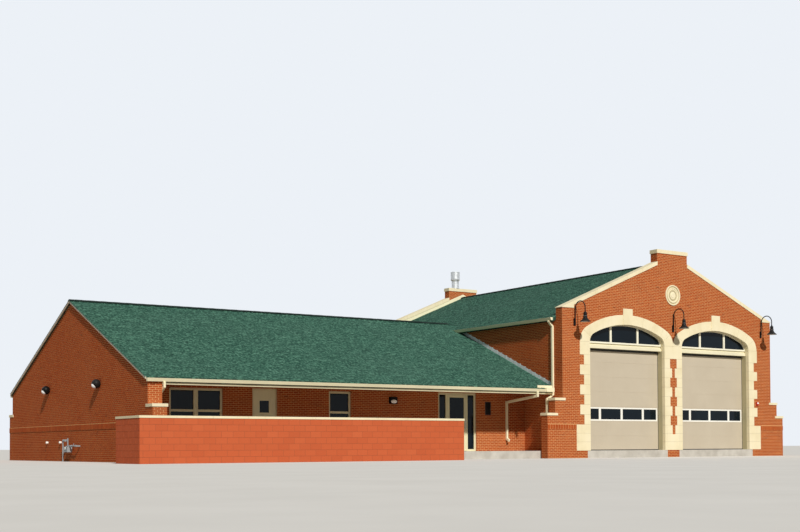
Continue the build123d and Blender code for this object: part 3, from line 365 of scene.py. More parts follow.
BRICK_FINISH = layered_finish(
    "face_brick", (0.47, 0.10, 0.03), 0.9, 0.15, None,
    ((0.0, (0.23, 0.04, 0.01)), (0.2, (0.345, 0.06, 0.013)), (0.55, (0.425, 0.079, 0.015)),
     (0.85, (0.485, 0.103, 0.020)), (1.0, (0.54, 0.145, 0.038))),
    (((90, 5), 0.52, 0.75, 0.4, (0.22, 0.042, 0.018)), ((0.7, 3), 0.35, 0.75, 0.12, (0.64, 0.26, 0.10))),
    ((260, 4), 0.0012, 0.6))
MORTAR = layered_finish(
    "mortar", (0.76, 0.47, 0.23), 0.95, 0.1, (300, 4),
    ((0.3, (0.78, 0.47, 0.20)), (0.7, (0.88, 0.57, 0.27))), relief=((300, 4), 0.001, 0.5))
BRICKWORK = brickwork_finish()
CAST_STONE = layered_finish(
    "cast_stone", (0.86, 0.77, 0.52), 0.8, 0.2, (1.4, 4),
    ((0.25, (0.80, 0.70, 0.45)), (0.5, (0.88, 0.79, 0.54)), (0.8, (0.92, 0.84, 0.61))),
    (((5, 3, (1.6, 1.6, 0.12)), 0.55, 0.85, 0.22, (0.55, 0.46, 0.30)),
     ((160, 5), 0.5, 0.75, 0.14, (0.60, 0.50, 0.33))),
    ((160, 5), 0.001, 0.5))
STONE_JOINT = layered_finish(
    "stone_joint", (0.52, 0.45, 0.31), 0.95, 0.15, (220, 3),
    ((0.3, (0.44, 0.38, 0.26)), (0.7, (0.60, 0.52, 0.37))))
SHINGLE = layered_finish(
    "green_shingles", (0.054, 0.125, 0.09), 0.96, 0.12, None,
    ((0.0, (0.012, 0.048, 0.034)), (0.25, (0.028, 0.094, 0.068)), (0.55, (0.052, 0.152, 0.108)),
     (0.8, (0.086, 0.218, 0.156)), (1.0, (0.140, 0.310, 0.225))),
    (((13, 2), 0.50, 0.60, 0.8, (0.016, 0.054, 0.040)), ((13, 2), 0.46, 0.36, 0.75, (0.130, 0.300, 0.215)),
     ((220, 3, EVEN, 0.7), 0.42, 0.62, 0.5, (0.020, 0.048, 0.036)),
     ((0.35, 4), 0.4, 0.75, 0.18, (0.085, 0.165, 0.130))),
    ((220, 3, EVEN, 0.7), 0.0015, 0.8))
SCREEN_BLOCK = layered_finish(
    "ground_face_block", (0.58, 0.125, 0.045), 0.8, 0.2, None,
    ((0.0, (0.52, 0.105, 0.036)), (0.5, (0.57, 0.120, 0.041)), (1.0, (0.61, 0.136, 0.048))),
    (((140, 5, EVEN, 0.7), 0.55, 0.72, 0.5, (0.26, 0.075, 0.045)),),
    ((140, 5, EVEN, 0.7), 0.0006, 0.4))
SCREEN_JOINT = layered_finish(
    "block_joint", (0.33, 0.10, 0.05), 0.95, 0.1, (240, 3),
    ((0.3, (0.27, 0.075, 0.035)), (0.7, (0.38, 0.12, 0.06))))
CONCRETE = layered_finish(
    "concrete", (0.56, 0.53, 0.47), 0.9, 0.5, (2.2, 5),
    ((0.3, (0.46, 0.43, 0.38)), (0.7, (0.64, 0.61, 0.55))),
    (((120, 5), 0.5, 0.8, 0.3, (0.36, 0.34, 0.30)),), ((120, 5), 0.0015, 0.6))
RUBBER = layered_finish(
    "black_rubber", (0.02, 0.02, 0.02), 0.75, 0.5, (60, 3),
    ((0.3, (0.012, 0.012, 0.012)), (0.7, (0.035, 0.034, 0.032))), relief=((200, 2), 0.0004, 0.4))
DOOR_SKIN = ribbed_door_finish()
WHITE_FRAME = painted_finish("white_frame", (0.90, 0.89, 0.82), 0.4, 0.06)
WARM_FRAME = painted_finish("warm_white_frame", (0.90, 0.87, 0.70), 0.4, 0.06)
ALMOND_FRAME = painted_finish("almond_frame", (0.78, 0.73, 0.47), 0.42)
CREAM_TRIM = painted_finish("cream_trim", (0.90, 0.84, 0.58), 0.45, 0.08)
TAN_RAKE = painted_finish("tan_rake", (0.56, 0.50, 0.38), 0.5)
SOFFIT = painted_finish("soffit_board", (0.62, 0.56, 0.42), 0.6)
LAMP_BRONZE = painted_finish("lamp_bronze", (0.006, 0.005, 0.004), 0.45, 0.05, Specular_IOR_Level=0.12)
JAMB_PAINT = painted_finish("jamb_paint", (0.47, 0.42, 0.25), 0.5)
LAMP_INNER = painted_finish("lamp_inner", (0.85, 0.85, 0.82), 0.3, 0.05)
METER_PAINT = painted_finish("meter_grey", (0.30, 0.32, 0.33), 0.5)
# Darker stone that paints the shade in the medallion's sunk ground and along its ring
PAINTED_SHADE_STONE = painted_finish("stone_painted_shade", (0.54, 0.46, 0.27), 0.85)
BEAM_PAINT = painted_finish("beam_paint", (0.80, 0.75, 0.54), 0.5)
# Near-black green for the ridge caps: painted shade along the ridge line
RIDGE_CAP_SHADE_PAINT = painted_finish("ridge_cap_painted_shade", (0.012, 0.026, 0.021), 0.95, Specular_IOR_Level=0.1)
DARK_METAL = painted_finish("dark_metal", (0.05, 0.045, 0.04), 0.45, 0.08)
GALVANISED = metal_finish("galvanised", (0.72, 0.74, 0.75), 0.42, 0.75)
BRUSHED = metal_finish("brushed_steel", (0.66, 0.66, 0.65), 0.28)
SHEET_METAL = metal_finish("sheet_metal", (0.80, 0.84, 0.85), 0.5, 0.2)
WINDOW_GLASS = glass_finish("tinted_glass", (0.003, 0.007, 0.011))
LENS = glass_finish("frosted_lens", (0.80, 0.82, 0.82), 0.25)
RED_LENS = glass_finish("red_lens", (0.45, 0.02, 0.02), 0.2)

BY_SLOT = {
    "brick": BRICKWORK, "cast_stone": CAST_STONE, "concrete": CONCRETE, "screen_block": SCREEN_BLOCK,
    "shingles": SHINGLE, "door_panel": DOOR_SKIN, "white_frame": WHITE_FRAME, "bronze_frame": ALMOND_FRAME,
    "glass": WINDOW_GLASS, "cream_trim": CREAM_TRIM, "lamp_bronze": LAMP_BRONZE, "galvanised": GALVANISED,
}
BY_NODE = {"rake_board": TAN_RAKE, "porch_ceiling": SOFFIT, "gas_meter": METER_PAINT,
           "roof_flashing": SHEET_METAL}


def dress_frame():
    """Every carried-over node gets the finish of its slot or its own."""
    for row in frame["record"]["subparts"]:
        finish = BY_NODE.get(row["node"], BY_SLOT[row["material_slot"]])
        mesh = frame["nodes"][row["node"]].data
        mesh.materials.clear()
        mesh.materials.append(finish.material)


# Making pieces


def add_object(name, bm, finishes):
    """Turns a finished shape into an object with its finishes."""
    mesh = bpy.data.meshes.new(name)
    bm.to_mesh(mesh)
    bm.free()
    for finish in finishes:
        mesh.materials.append(finish.material)
    made = bpy.data.objects.new(name, mesh)
    bpy.context.scene.collection.objects.link(made)
    return made


def piece(name, bm, finishes, slot, body="root", stands_for=None, smooth=None, edge=None, rounds=2):
    """Moves a finished shape to the frame, smooths it or rounds its edges, and rides it on a body."""
    bmesh.ops.translate(bm, verts=bm.verts[:], vec=SITE)
    made = add_object(name, bm, finishes)
    if smooth is not None:
        made.data.shade_smooth()
        made.data.set_sharp_from_angle(angle=math.radians(smooth))
    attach(made, body)
    if stands_for:
        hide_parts(stands_for)
    if edge:
        bevel = made.modifiers.new("soft_edges", "BEVEL")
        bevel.width = edge
        bevel.segments = rounds
        bevel.limit_method = "ANGLE"
        bevel.angle_limit = math.radians(35)


def ease(bm, width, segments):
    """Bevels every edge of a shape."""
    bmesh.ops.bevel(bm, geom=bm.edges[:], offset=width, segments=segments, profile=0.5, affect="EDGES",
                    material=-1)


def add_block(bm, x0, x1, y0, y1, z0, z1, finish=0):
    """A box between two corners."""
    size = Matrix.Diagonal((abs(x1 - x0), abs(y1 - y0), abs(z1 - z0), 1))
    centre = Matrix.Translation(((x0 + x1) / 2, (y0 + y1) / 2, (z0 + z1) / 2))
    made = bmesh.ops.create_cube(bm, size=1, matrix=centre @ size)
    for face in {face for vert in made["verts"] for face in vert.link_faces}:
        face.material_index = finish


def add_bar(bm, start, end, radius, sides=12):
    """A round bar between two points."""
    start, end = Vector(start), Vector(end)
    turn = UP.rotation_difference(end - start).to_matrix().to_4x4()
    bmesh.ops.create_cone(
        bm, cap_ends=True, segments=sides, radius1=radius, radius2=radius, depth=(end - start).length,
        matrix=Matrix.Translation((start + end) / 2) @ turn)


def lathe(bm, profile, centre, axis=UP, steps=40, finish=0):
    """Turns a line of (radius, height) points once round an upright or sideways axis."""
    turn = UP.rotation_difference(Vector(axis)).to_matrix().to_4x4()
    spun = bmesh.new()
    points = [spun.verts.new((radius, 0, height)) for radius, height in profile]
    for first, second in zip(points, points[1:]):
        spun.edges.new((first, second))
    bmesh.ops.spin(spun, geom=spun.verts[:] + spun.edges[:], cent=(0, 0, 0), axis=UP, dvec=(0, 0, 0),
                   angle=2 * math.pi, steps=steps, use_merge=True, use_duplicate=False)
    bmesh.ops.remove_doubles(spun, verts=spun.verts[:], dist=TINY / 10)
    bmesh.ops.recalc_face_normals(spun, faces=spun.faces[:])
    for face in spun.faces:
        face.material_index = finish
    bmesh.ops.transform(spun, matrix=Matrix.Translation(centre) @ turn, verts=spun.verts[:])
    take_in(bm, spun)


def take_in(bm, other):
    """Adds another shape's mesh to this one and lets the other go."""
    mesh = bpy.data.meshes.new("passing")
    other.to_mesh(mesh)
    other.free()
    bm.from_mesh(mesh)
    bpy.data.meshes.remove(mesh)


def whole(bm):
    return bm.faces[:] + bm.edges[:] + bm.verts[:]


def around(faces):
    """Faces with their edges and corners."""
    edges = {edge for face in faces for edge in face.edges}
    verts = {vert for face in faces for vert in face.verts}
    return [*faces, *edges, *verts]


def saw(bm, geom, point, normal, clear=False):
    bmesh.ops.bisect_plane(bm, geom=geom, dist=TINY / 10, plane_co=point, plane_no=normal, clear_outer=clear)


def extents(points):
    """The least and the most of a set of points along each axis in turn."""
    return [edge for axis in zip(*points) for edge in (min(axis), max(axis))]


# Masonry

FACINGS = {
    "front": (RIGHTWARD, -BACKWARD, 1),
    "back": (-RIGHTWARD, BACKWARD, -1),
    "left": (-BACKWARD, -RIGHTWARD, -1),
    "right": (BACKWARD, RIGHTWARD, 1),
}


def facing_matrix(along, up, outward, corner):
    """The matrix that stands a flat pattern on a wall or slope."""
    turn = Matrix((along, up, outward)).transposed().to_4x4()
    return Matrix.Translation(corner) @ turn


def near_faces(bm, a0, a1, b0, b1):
    found = []
    for face in bm.faces:
        centre = face.calc_center_median()
        if a0 < centre.x < a1 and b0 < centre.y < b1:
            found.append(face)
    return around(found)


def cut_grid(span, half, course, cuts):
    """A flat grid of half units within a span, cut along the edges of openings."""
    a0, a1, b0, b1 = span
    first, last = math.floor(a0 / half + NEAR), math.ceil(a1 / half - NEAR)
    lowest, highest = math.floor(b0 / course + NEAR), math.ceil(b1 / course - NEAR)
    columns, rows = last - first, highest - lowest
    size = Matrix.Diagonal((columns * half, rows * course, 1, 1))
    centre = Matrix.Translation(((first + last) / 2 * half, (lowest + highest) / 2 * course, 0))
    bm = bmesh.new()
    bmesh.ops.create_grid(bm, x_segments=columns, y_segments=rows, size=0.5, matrix=centre @ size)
    for point, normal in (((a0, 0, 0), (-1, 0, 0)), ((a1, 0, 0), (1, 0, 0)),
                          ((0, b0, 0), (0, -1, 0)), ((0, b1, 0), (0, 1, 0))):
        saw(bm, whole(bm), point, normal, True)
    for kind, at, start, end in cuts:
        if kind == "upright":
            geom = near_faces(bm, at - half, at + half, start - course / 2, end + course / 2)
            saw(bm, geom, (at, 0, 0), RIGHTWARD)
        else:
            saw(bm, near_faces(bm, start - half, end + half, at - course, at + course), (0, at, 0), BACKWARD)
    return bm


def units(span, unit, course, keep, cuts, merge=0, seed=0):
    """Whole and cut units of one flat surface, each its own face in the XY plane."""
    half = unit / 2
    bm = cut_grid(span, half, course, cuts)
    if keep:
        gone = [face for face in bm.faces if not keep(*face.calc_center_median().xy)]
        bmesh.ops.delete(bm, geom=gone, context="FACES")
    spare = []
    draw = random.Random(seed)
    short = half * SHORT_UNIT
    for edge in bm.edges:
        if len(edge.link_faces) != 2:
            continue
        first, second = (vert.co for vert in edge.verts)
        middle = (first + second) / 2
        if abs(first.x - second.x) < TINY:
            step = middle.x / half
            off_line = abs(step - round(step)) > NEAR
            bonded = (round(step) + math.floor(middle.y / course)) % 2
            if merge:
                bonded = draw.random() < merge
            close = any(kind == "upright" and start < middle.y < end and TINY < abs(middle.x - at) < short
                        for kind, at, start, end in cuts)
            ends = min(middle.x - span[0], span[1] - middle.x) < short
            if off_line or bonded or close or ends:
                spare.append(edge)
        elif abs(first.y - second.y) < TINY:
            step = middle.y / course
            if abs(step - round(step)) > NEAR:
                spare.append(edge)
    bmesh.ops.dissolve_edges(bm, edges=spare, use_verts=False, use_face_split=False)
    bmesh.ops.split_edges(bm, edges=bm.edges[:])
    bmesh.ops.dissolve_limit(bm, angle_limit=NEAR, verts=bm.verts[:], edges=[])
    slivers = []
    for face in bm.faces:
        x0, x1, y0, y1 = extents(vert.co for vert in face.verts)[:4]
        if min(x1 - x0, y1 - y0) < SMALLEST_UNIT:
            slivers.append(face)
    bmesh.ops.delete(bm, geom=slivers, context="FACES")
    return bm


def inset(bm, faces, width, depth=0):
    """Narrows each face by itself and returns the new rims."""
    made = bmesh.ops.inset_individual(bm, faces=faces, thickness=width, depth=depth, use_even_offset=True)
    return made["faces"]


def wall(collected, facing, plane, span, keep=None, cuts=(), unit=BRICK, course=COURSE, joint=JOINT,
         proud=BRICK_PROUD):
    """One face of a wall in running bond. span is along the wall, then up it."""
    along, outward, sign = FACINGS[facing]
    low_a, high_a = sorted((sign * span[0], sign * span[1]))
    turned = []
    for kind, at, start, end in cuts:
        if kind == "upright":
            turned.append((kind, sign * at, start, end))
        else:
            turned.append((kind, at, *sorted((sign * start, sign * end))))
    kept = (lambda a, b: keep(sign * a, b)) if keep else None
    bm = units((low_a, high_a, *span[2:]), unit, course, kept, turned)
    faces = bm.faces[:]
    pointing = inset(bm, faces, joint / 2)
    inset(bm, faces, BRICK_EASE, proud)
    for face in pointing:
        centre = face.calc_center_median().x
        face.material_index = 0 if min(centre - low_a, high_a - centre) < joint else 1
    corner = outward * (outward.dot(Vector((plane, plane, 0))) + SKIN_GAP)
    bmesh.ops.transform(bm, matrix=facing_matrix(along, UP, outward, corner), verts=bm.verts[:])
    take_in(collected, bm)


def raised_wall(collected, facing, plane, span, foot, **settings):
    """A wall whose courses are counted from a foot of its own."""
    bm = bmesh.new()
    wall(bm, facing, plane, span, **settings)
    bmesh.ops.translate(bm, verts=bm.verts[:], vec=(0, 0, foot))
    take_in(collected, bm)


def tones(bm, seed, spread=0.13):
    """A shade from 0 to 1 for every face, drawn about the middle."""
    draw = random.Random(seed)
    layer = bm.faces.layers.float.new("tone")
    for face in bm.faces:
        face[layer] = min(1, max(0, draw.gauss(0.5, spread)))


def brick_piece(name, bm, seed, **settings):
    tones(bm, seed)
    piece(name, bm, (BRICK_FINISH, MORTAR), "brick", **settings)


def opening_cuts(left, right, foot, head):
    return [("upright", left, foot, head), ("upright", right, foot, head),
            ("level", foot, left, right), ("level", head, left, right)]


def inside_any(boxes, a, b):
    return any(left < a < right and foot < b < head for left, right, foot, head in boxes)


def in_arch(x, z):
    """True inside a doorway's three-centred arch, widened by a margin."""
    for centre in DOOR_CENTRES:
        across = abs(x - centre)
        if z < SPRINGING:
            if across < HALF_DOOR + ARCH_MARGIN:
                return True
            continue
        rise = z - SPRINGING
        beyond = across - CROWN_HALF
        if math.atan2(rise, beyond) > CROWN_TURN or beyond < 0:
            if math.hypot(across, rise - INNER_RISE + CROWN_REACH) < CROWN_REACH + ARCH_MARGIN:
                return True
        elif math.hypot(beyond, rise) < INNER_HAUNCH + ARCH_MARGIN:
            return True
    return False


def stepped(x, z):
    """True on the stepped buttresses and the bay's end wall, below the raking cap."""
    out = -x if x < BAY_CENTRE else x - BAY_WIDTH
    if out > BUTTRESS_STEP:
        return z < BUTTRESS_TOPS[0] + UNDER_CAP
    if out > 0:
        return z < BUTTRESS_TOPS[1] + UNDER_CAP
    return BLOCK_LEFT < x < BLOCK_RIGHT or z < rake_top(x) - COPING + UNDER_RAKE


def bay_end_cuts():
    cuts = [("upright", x, rake_top(BLOCK_LEFT) - COPING, BLOCK_TOP) for x in (BLOCK_LEFT, BLOCK_RIGHT)]
    for side, out in ((0, -BUTTRESS_STEP), (BAY_WIDTH, BUTTRESS_STEP)):
        cuts.append(("upright", side, BUTTRESS_TOPS[1], BLOCK_TOP))
        cuts.append(("upright", side + out, BUTTRESS_TOPS[0], BUTTRESS_TOPS[1] + 0.1))
    return cuts


def lay_bay_end(name, seed, facings, planes, hands, is_open, more_cuts=()):
    """A raised end wall, outer face first, with its buttresses and the block on its crown."""
    bm = bmesh.new()
    cuts = bay_end_cuts()
    top = BLOCK_TOP - COPING + UNDER_CAP
    through = sorted(planes)
    outer, inner = zip(facings, planes)
    wall(bm, *outer, (min(0, hands[0] * BUTTRESS_OUT), RIGHT, GROUND, top),
         lambda x, z: stepped(x, z) and not is_open(x, z), [*cuts, *more_cuts])
    wall(bm, *inner, (0, BAY_WIDTH, KNEELER_BOTTOM - BACK_SKIN_DROP, top),
         lambda x, z: stepped(x, z) and z > bay_roof_top(x) - BELOW_ROOF, cuts)
    for hand in hands:
        side, facing = (0, "left") if hand < 0 else (BAY_WIDTH, "right")
        wall(bm, facing, side + hand * BUTTRESS_OUT, (*through, GROUND, BUTTRESS_TOPS[0]))
        wall(bm, facing, side + hand * BUTTRESS_STEP, (*through, *BUTTRESS_TOPS))
        wall(bm, *inner, (side, side + hand * BUTTRESS_OUT, GROUND, BUTTRESS_TOPS[1]), stepped, cuts)
    for x, facing in ((BLOCK_LEFT, "left"), (BLOCK_RIGHT, "right")):
        wall(bm, facing, x, (*through, rake_top(BLOCK_LEFT), top))
    brick_piece(name, bm, seed)


def lay_bay_ends():
    lay_bay_end("bay_front_bricks", 11, ("front", "back"), (0, END_WALL), (-1, 1), in_arch)
    holes = [(left, left + DOOR_WIDTH, GROUND, REAR_DOOR_HEIGHT + 0.05) for left in DOORWAYS]
    jambs = [("upright", x, GROUND, REAR_DOOR_HEIGHT) for hole in holes for x in hole[:2]]
    lay_bay_end("bay_rear_bricks", 12, ("back", "front"), (BAY_DEPTH, BAY_REAR), (1,),
                lambda x, z: inside_any(holes, x, z), jambs)


def parapet_flashing():
    """Painted metal over the inner faces of both raised end walls, in lapped lengths."""
    bm = bmesh.new()
    lengths = 4
    lap = 0.04
    thick = 0.003
    tall = RAKE_RISE - COPING + 0.02
    for wall_face, out in ((END_WALL, 1), (BAY_REAR, -1)):
        for hand in (-1, 1):
            shear = Matrix.Identity(4)
            shear[2][0] = -hand * BAY_SLOPE
            for step in range(lengths):
                start = step * BAY_CENTRE / lengths
                end = min((step + 1) * BAY_CENTRE / lengths + lap, BAY_CENTRE)
                middle = (start + end) / 2
                x = middle if hand < 0 else BAY_WIDTH - middle
                sheet = wall_face + out * (0.010 + 0.002 * (step % 2))
                heart = Matrix.Translation((x, sheet, bay_roof_top(middle) + tall / 2 - 0.01))
                size = Matrix.Diagonal((end - start, thick, tall, 1))
                bmesh.ops.create_cube(bm, size=1, matrix=heart @ shear @ size)
    piece("parapet_flashing", bm, (CREAM_TRIM,), "cream_trim")


def lay_bay_sides():
    def on_side(y, z):
        return z < EAVE_BOTTOM + UNDER_CAP or not END_WALL < y < BAY_REAR

    def beside_wing(y, z):
        if not on_side(y, z):
            return False
        if y < END_WALL and z < BUTTRESS_TOPS[1]:
            return False
        if y < PORCH_WALL and z < CEILING + UNDER_CAP:
            return True
        return z > wing_roof_top(y) - BELOW_FLASHING or y < WING_FRONT or y > WING_REAR

    cuts = [("upright", y, EAVE_BOTTOM, KNEELER_BOTTOM) for y in (END_WALL, BAY_REAR)]
    for facing, plane, keep, seed in (("left", 0, beside_wing, 13), ("right", BAY_WIDTH, on_side, 14)):
        bm = bmesh.new()
        wall(bm, facing, plane, (0, BAY_DEPTH, GROUND, KNEELER_BOTTOM), keep, cuts)
        brick_piece(f"bay_{facing}_bricks", bm, seed)


def lay_wing_gable():
    def on_gable(y, z):
        if not WING_FRONT < y < WING_REAR:
            return z < WING_BUTTRESS_TOP + UNDER_CAP
        return z < wing_roof_top(y) - RAKE_EDGE + UNDER_CAP

    bm = bmesh.new()
    cuts = [("upright", y, WING_BUTTRESS_TOP, WING_EAVE_TOP) for y in (WING_FRONT, WING_REAR)]
    wall(bm, "left", WING_END, (WING_STEP, WING_STEP_REAR, GROUND, WING_RIDGE - RAKE_EDGE), on_gable, cuts)
    for step, face, facing in ((WING_STEP, WING_FRONT, "front"), (WING_STEP_REAR, WING_REAR, "back")):
        wall(bm, facing, step, (WING_END, WING_PIER, GROUND, WING_BUTTRESS_TOP))
        wall(bm, facing, face, (WING_END, WING_PIER, WING_BUTTRESS_TOP, WING_EAVE_TOP - RAKE_EDGE))
    wall(bm, "right", WING_PIER, (WING_STEP, PIER_BACK, GROUND, CEILING), on_gable, cuts[:1])
    wall(bm, "right", WING_PIER, (WING_REAR, WING_STEP_REAR, GROUND, WING_BUTTRESS_TOP))
    wall(bm, "back", PIER_BACK, (WING_INSIDE, WING_PIER, 0, CEILING))
    wall(bm, "right", WING_INSIDE, (PIER_BACK, PORCH_WALL, 0, CEILING))
    brick_piece("wing_gable_bricks", bm, 15)


def islands(node):
    """The corner points of each separate solid of a node."""
    bm = bmesh.new()
    bm.from_mesh(frame["nodes"][node].data)
    bmesh.ops.remove_doubles(bm, verts=bm.verts[:], dist=TINY / 10)
    left = set(bm.verts)
    found = []
    while left:
        wave = [left.pop()]
        points = []
        while wave:
            vert = wave.pop()
            points.append(vert.co - SITE)
            for edge in vert.link_edges:
                other = edge.other_vert(vert)
                if other in left:
                    left.discard(other)
                    wave.append(other)
        found.append(points)
    bm.free()
    return sorted(found, key=lambda points: (min(p.y for p in points), min(p.x for p in points)))


def frame_openings():
    """Boxes of the doorways and windows in the porch wall and in the rear wall."""
    porch = [(low(node).x, high(node).x, 0, high(node).z) for node in ("entry_frame", "porch_door_frame")]
    rear = []
    for points in islands("wing_window_frames"):
        x0, x1, y0, _, z0, z1 = extents(points)
        (porch if y0 < WING_MIDDLE else rear).append((x0, x1, z0, z1))
    return porch, rear


def lay_wing_walls():
    porch, rear = frame_openings()
    for name, facing, plane, span, boxes, seed in (
            ("porch_bricks", "front", PORCH_WALL, (WING_INSIDE, 0, 0, CEILING), porch, 16),
            ("wing_rear_bricks", "back", WING_REAR,
             (WING_PIER, 0, GROUND, WING_EAVE_TOP - ROOF_THICKNESS + UNDER_CAP), rear, 17)):
        bm = bmesh.new()
        cuts = [cut for box in boxes for cut in opening_cuts(*box)]
        wall(bm, facing, plane, span, lambda a, b: not inside_any(boxes, a, b), cuts)
        brick_piece(name, bm, seed)


def lay_belt():
    """Bricks on end along the belt, with a pale mortar strip on top that is partly a real wash and partly a
    painted highlight of the sunlit top edge.
    """
    bm = bmesh.new()
    height = BELT_TOP - BELT_BOTTOM
    wash_and_highlight = 0.008
    for points in islands("belt_course"):
        x0, x1, y0, y1 = extents(points)[:4]
        if x1 - x0 > y1 - y0:
            facing, plane, span = ("front", y0, (x0, x1)) if y0 < BAY_CENTRE else ("back", y1, (x0, x1))
        else:
            facing, plane, span = ("left", x0, (y0, y1)) if x0 < 0 else ("right", x1, (y0, y1))
        raised_wall(bm, facing, plane, (*span, 0, height), BELT_BOTTOM, unit=2 * COURSE, course=height)
        # Pale mortar strip on top: a mortar wash that also paints the sunlit top edge as a highlight
        add_block(bm, x0, x1, y0, y1, BELT_TOP, BELT_TOP + wash_and_highlight, 1)
    brick_piece("belt_bricks", bm, 18)


def lay_screen_wall():
    bm = bmesh.new()
    x0, y0, _ = low("screen_wall")
    x1, y1, top = high("screen_wall")
    base = top - SCREEN_COURSES * BLOCK_COURSE
    thick = SCREEN_THICKNESS
    for facing, plane, span in (
            ("front", y0, (x0, x1)), ("back", y0 + thick, (x0 + thick, x1)), ("right", x1, (y0, y0 + thick)),
            ("left", x0, (y0, y1)), ("right", x0 + thick, (y0 + thick, y1 - thick)),
            ("front", y1 - thick, (x0 + thick, WING_END)), ("back", y1, (x0, WING_END))):
        raised_wall(bm, facing, plane, (*span, GROUND - base, top - base), base, unit=BLOCK,
                    course=BLOCK_COURSE, joint=BLOCK_JOINT, proud=BLOCK_PROUD)
    tones(bm, 19, 0.14)
    piece("screen_blocks", bm, (SCREEN_BLOCK, SCREEN_JOINT), "screen_block")


# Roofs


def slope(name, along, up, corner, span, seed, keep=None, cuts=()):
    """Laminated shingles on one roof slope: courses of tabs of mixed width."""
    bm = units(span, 2 * TAB, EXPOSURE, keep, cuts, TAB_MERGING, seed)
    inset(bm, bm.faces[:], TAB_GAP)
    draw = random.Random(seed)
    for face in [face for face in bm.faces if face.calc_area() > SMALLEST_TAB]:
        butt = draw.choice(TAB_BUTTS)
        for vert in face.verts:
            climb = (vert.co.y / EXPOSURE) % 1
            vert.co.z = TAB_LIFT + butt * (1 - climb)
    bmesh.ops.transform(bm, matrix=facing_matrix(along, up, along.cross(up), corner), verts=bm.verts[:])
    tones(bm, seed + 10, 0.19)
    piece(name, bm, (SHINGLE,), "shingles")


def lay_wing_shingles():
    rise = math.hypot(WING_MIDDLE - WING_EAVE_LINE, WING_RIDGE - WING_EAVE_TOP)
    cosine, sine = math.cos(WING_SLOPE_TURN), math.sin(WING_SLOPE_TURN)
    run = (WING_RIDGE - bay_roof_top(0)) / BAY_SLOPE
    rake = WING_RAKE - RAKE_OVERLAP
    notch_left, notch_back = -0.15, 0.715
    notch_top = (notch_back - WING_EAVE_LINE) / cosine
    beside_bay = ("upright", 0, 0, rise)

    def on_saddle(x, climb):
        return x < 0 or WING_EAVE_TOP + climb * sine > bay_roof_top(x) - 0.02

    def beside_notch(x, climb):
        return on_saddle(x, climb) and not (x > notch_left and climb < notch_top)

    slope("wing_front_shingles", RIGHTWARD, Vector((0, cosine, sine)),
          Vector((0, WING_EAVE_LINE, WING_EAVE_TOP)), (rake, run, -SHINGLE_OVERHANG, rise), 21,
          beside_notch, [("upright", notch_left, 0, notch_top), beside_bay])
    slope("wing_rear_shingles", -RIGHTWARD, Vector((0, -cosine, sine)),
          Vector((0, WING_REAR_EAVE_LINE, WING_EAVE_TOP)), (-run, -rake, -SHINGLE_OVERHANG, rise), 22,
          lambda x, climb: on_saddle(-x, climb), [beside_bay])


def lay_bay_shingles():
    eave_z = bay_roof_top(-BAY_EAVE)
    rise = math.hypot(BAY_CENTRE + BAY_EAVE, BAY_RIDGE - eave_z)
    cosine, sine = math.cos(BAY_SLOPE_TURN), math.sin(BAY_SLOPE_TURN)
    first, last = END_WALL + PARAPET_GAP, BAY_REAR - PARAPET_GAP
    slope("bay_left_shingles", -BACKWARD, Vector((cosine, 0, sine)), Vector((-BAY_EAVE, 0, eave_z)),
          (-last, -first, -SHINGLE_OVERHANG, rise), 23)
    slope("bay_right_shingles", BACKWARD, Vector((-cosine, 0, sine)),
          Vector((BAY_WIDTH + BAY_EAVE, 0, eave_z)), (first, last, -SHINGLE_OVERHANG, rise), 24)


def ridge_vents():
    """Dark baffles that show as a line along each ridge, with shingle caps over them in a near-black green
    that paints the ridge's shade line.
    """
    bm = bmesh.new()
    caps = bmesh.new()
    above = 0.030
    for axis, turn, heart, first, last in (
            ("X", -WING_SLOPE_TURN, (0, WING_MIDDLE, WING_RIDGE + above), WING_RAKE - 0.04, 0.0),
            ("Y", BAY_SLOPE_TURN, (BAY_CENTRE, 0, BAY_RIDGE + above), END_WALL + 0.01, BAY_REAR - 0.01)):
        for hand in (-1, 1):
            tilt = Matrix.Translation(heart) @ Matrix.Rotation(hand * turn, 4, axis)
            for shape, wide, thick, lift, count in ((bm, 0.13, 0.022, 0, 1),
                                                    (caps, 0.155, 0.007, 0.017, 70)):
                for step in range(count):
                    start = first + (last - first) * step / count
                    end = first + (last - first) * (step + 1) / count
                    centre = [(start + end) / 2, hand * wide / 2]
                    size = [end - start, wide]
                    if axis == "Y":
                        centre.reverse()
                        size.reverse()
                    place = Matrix.Translation((*centre, lift + 0.003 * (step % 2)))
                    bmesh.ops.create_cube(shape, size=1,
                                          matrix=tilt @ place @ Matrix.Diagonal((*size, thick, 1)))
    piece("ridge_vents", bm, (RUBBER,), "shingles")
    tones(caps, 35)
    # The caps' near-black finish is painted shade along the ridge
    piece("ridge_cap_shingles", caps, (RIDGE_CAP_SHADE_PAINT,), "shingles")


# Stone dressings cut from the frame's own shapes


def copy_of(node):
    """A clean copy of a node's mesh, in site places."""
    bm = bmesh.new()
    bm.from_mesh(frame["nodes"][node].data)
    bmesh.ops.remove_doubles(bm, verts=bm.verts[:], dist=TINY / 10)
    bmesh.ops.translate(bm, verts=bm.verts[:], vec=-SITE)
    bmesh.ops.dissolve_limit(bm, angle_limit=math.radians(0.4), verts=bm.verts[:], edges=bm.edges[:])
    return bm


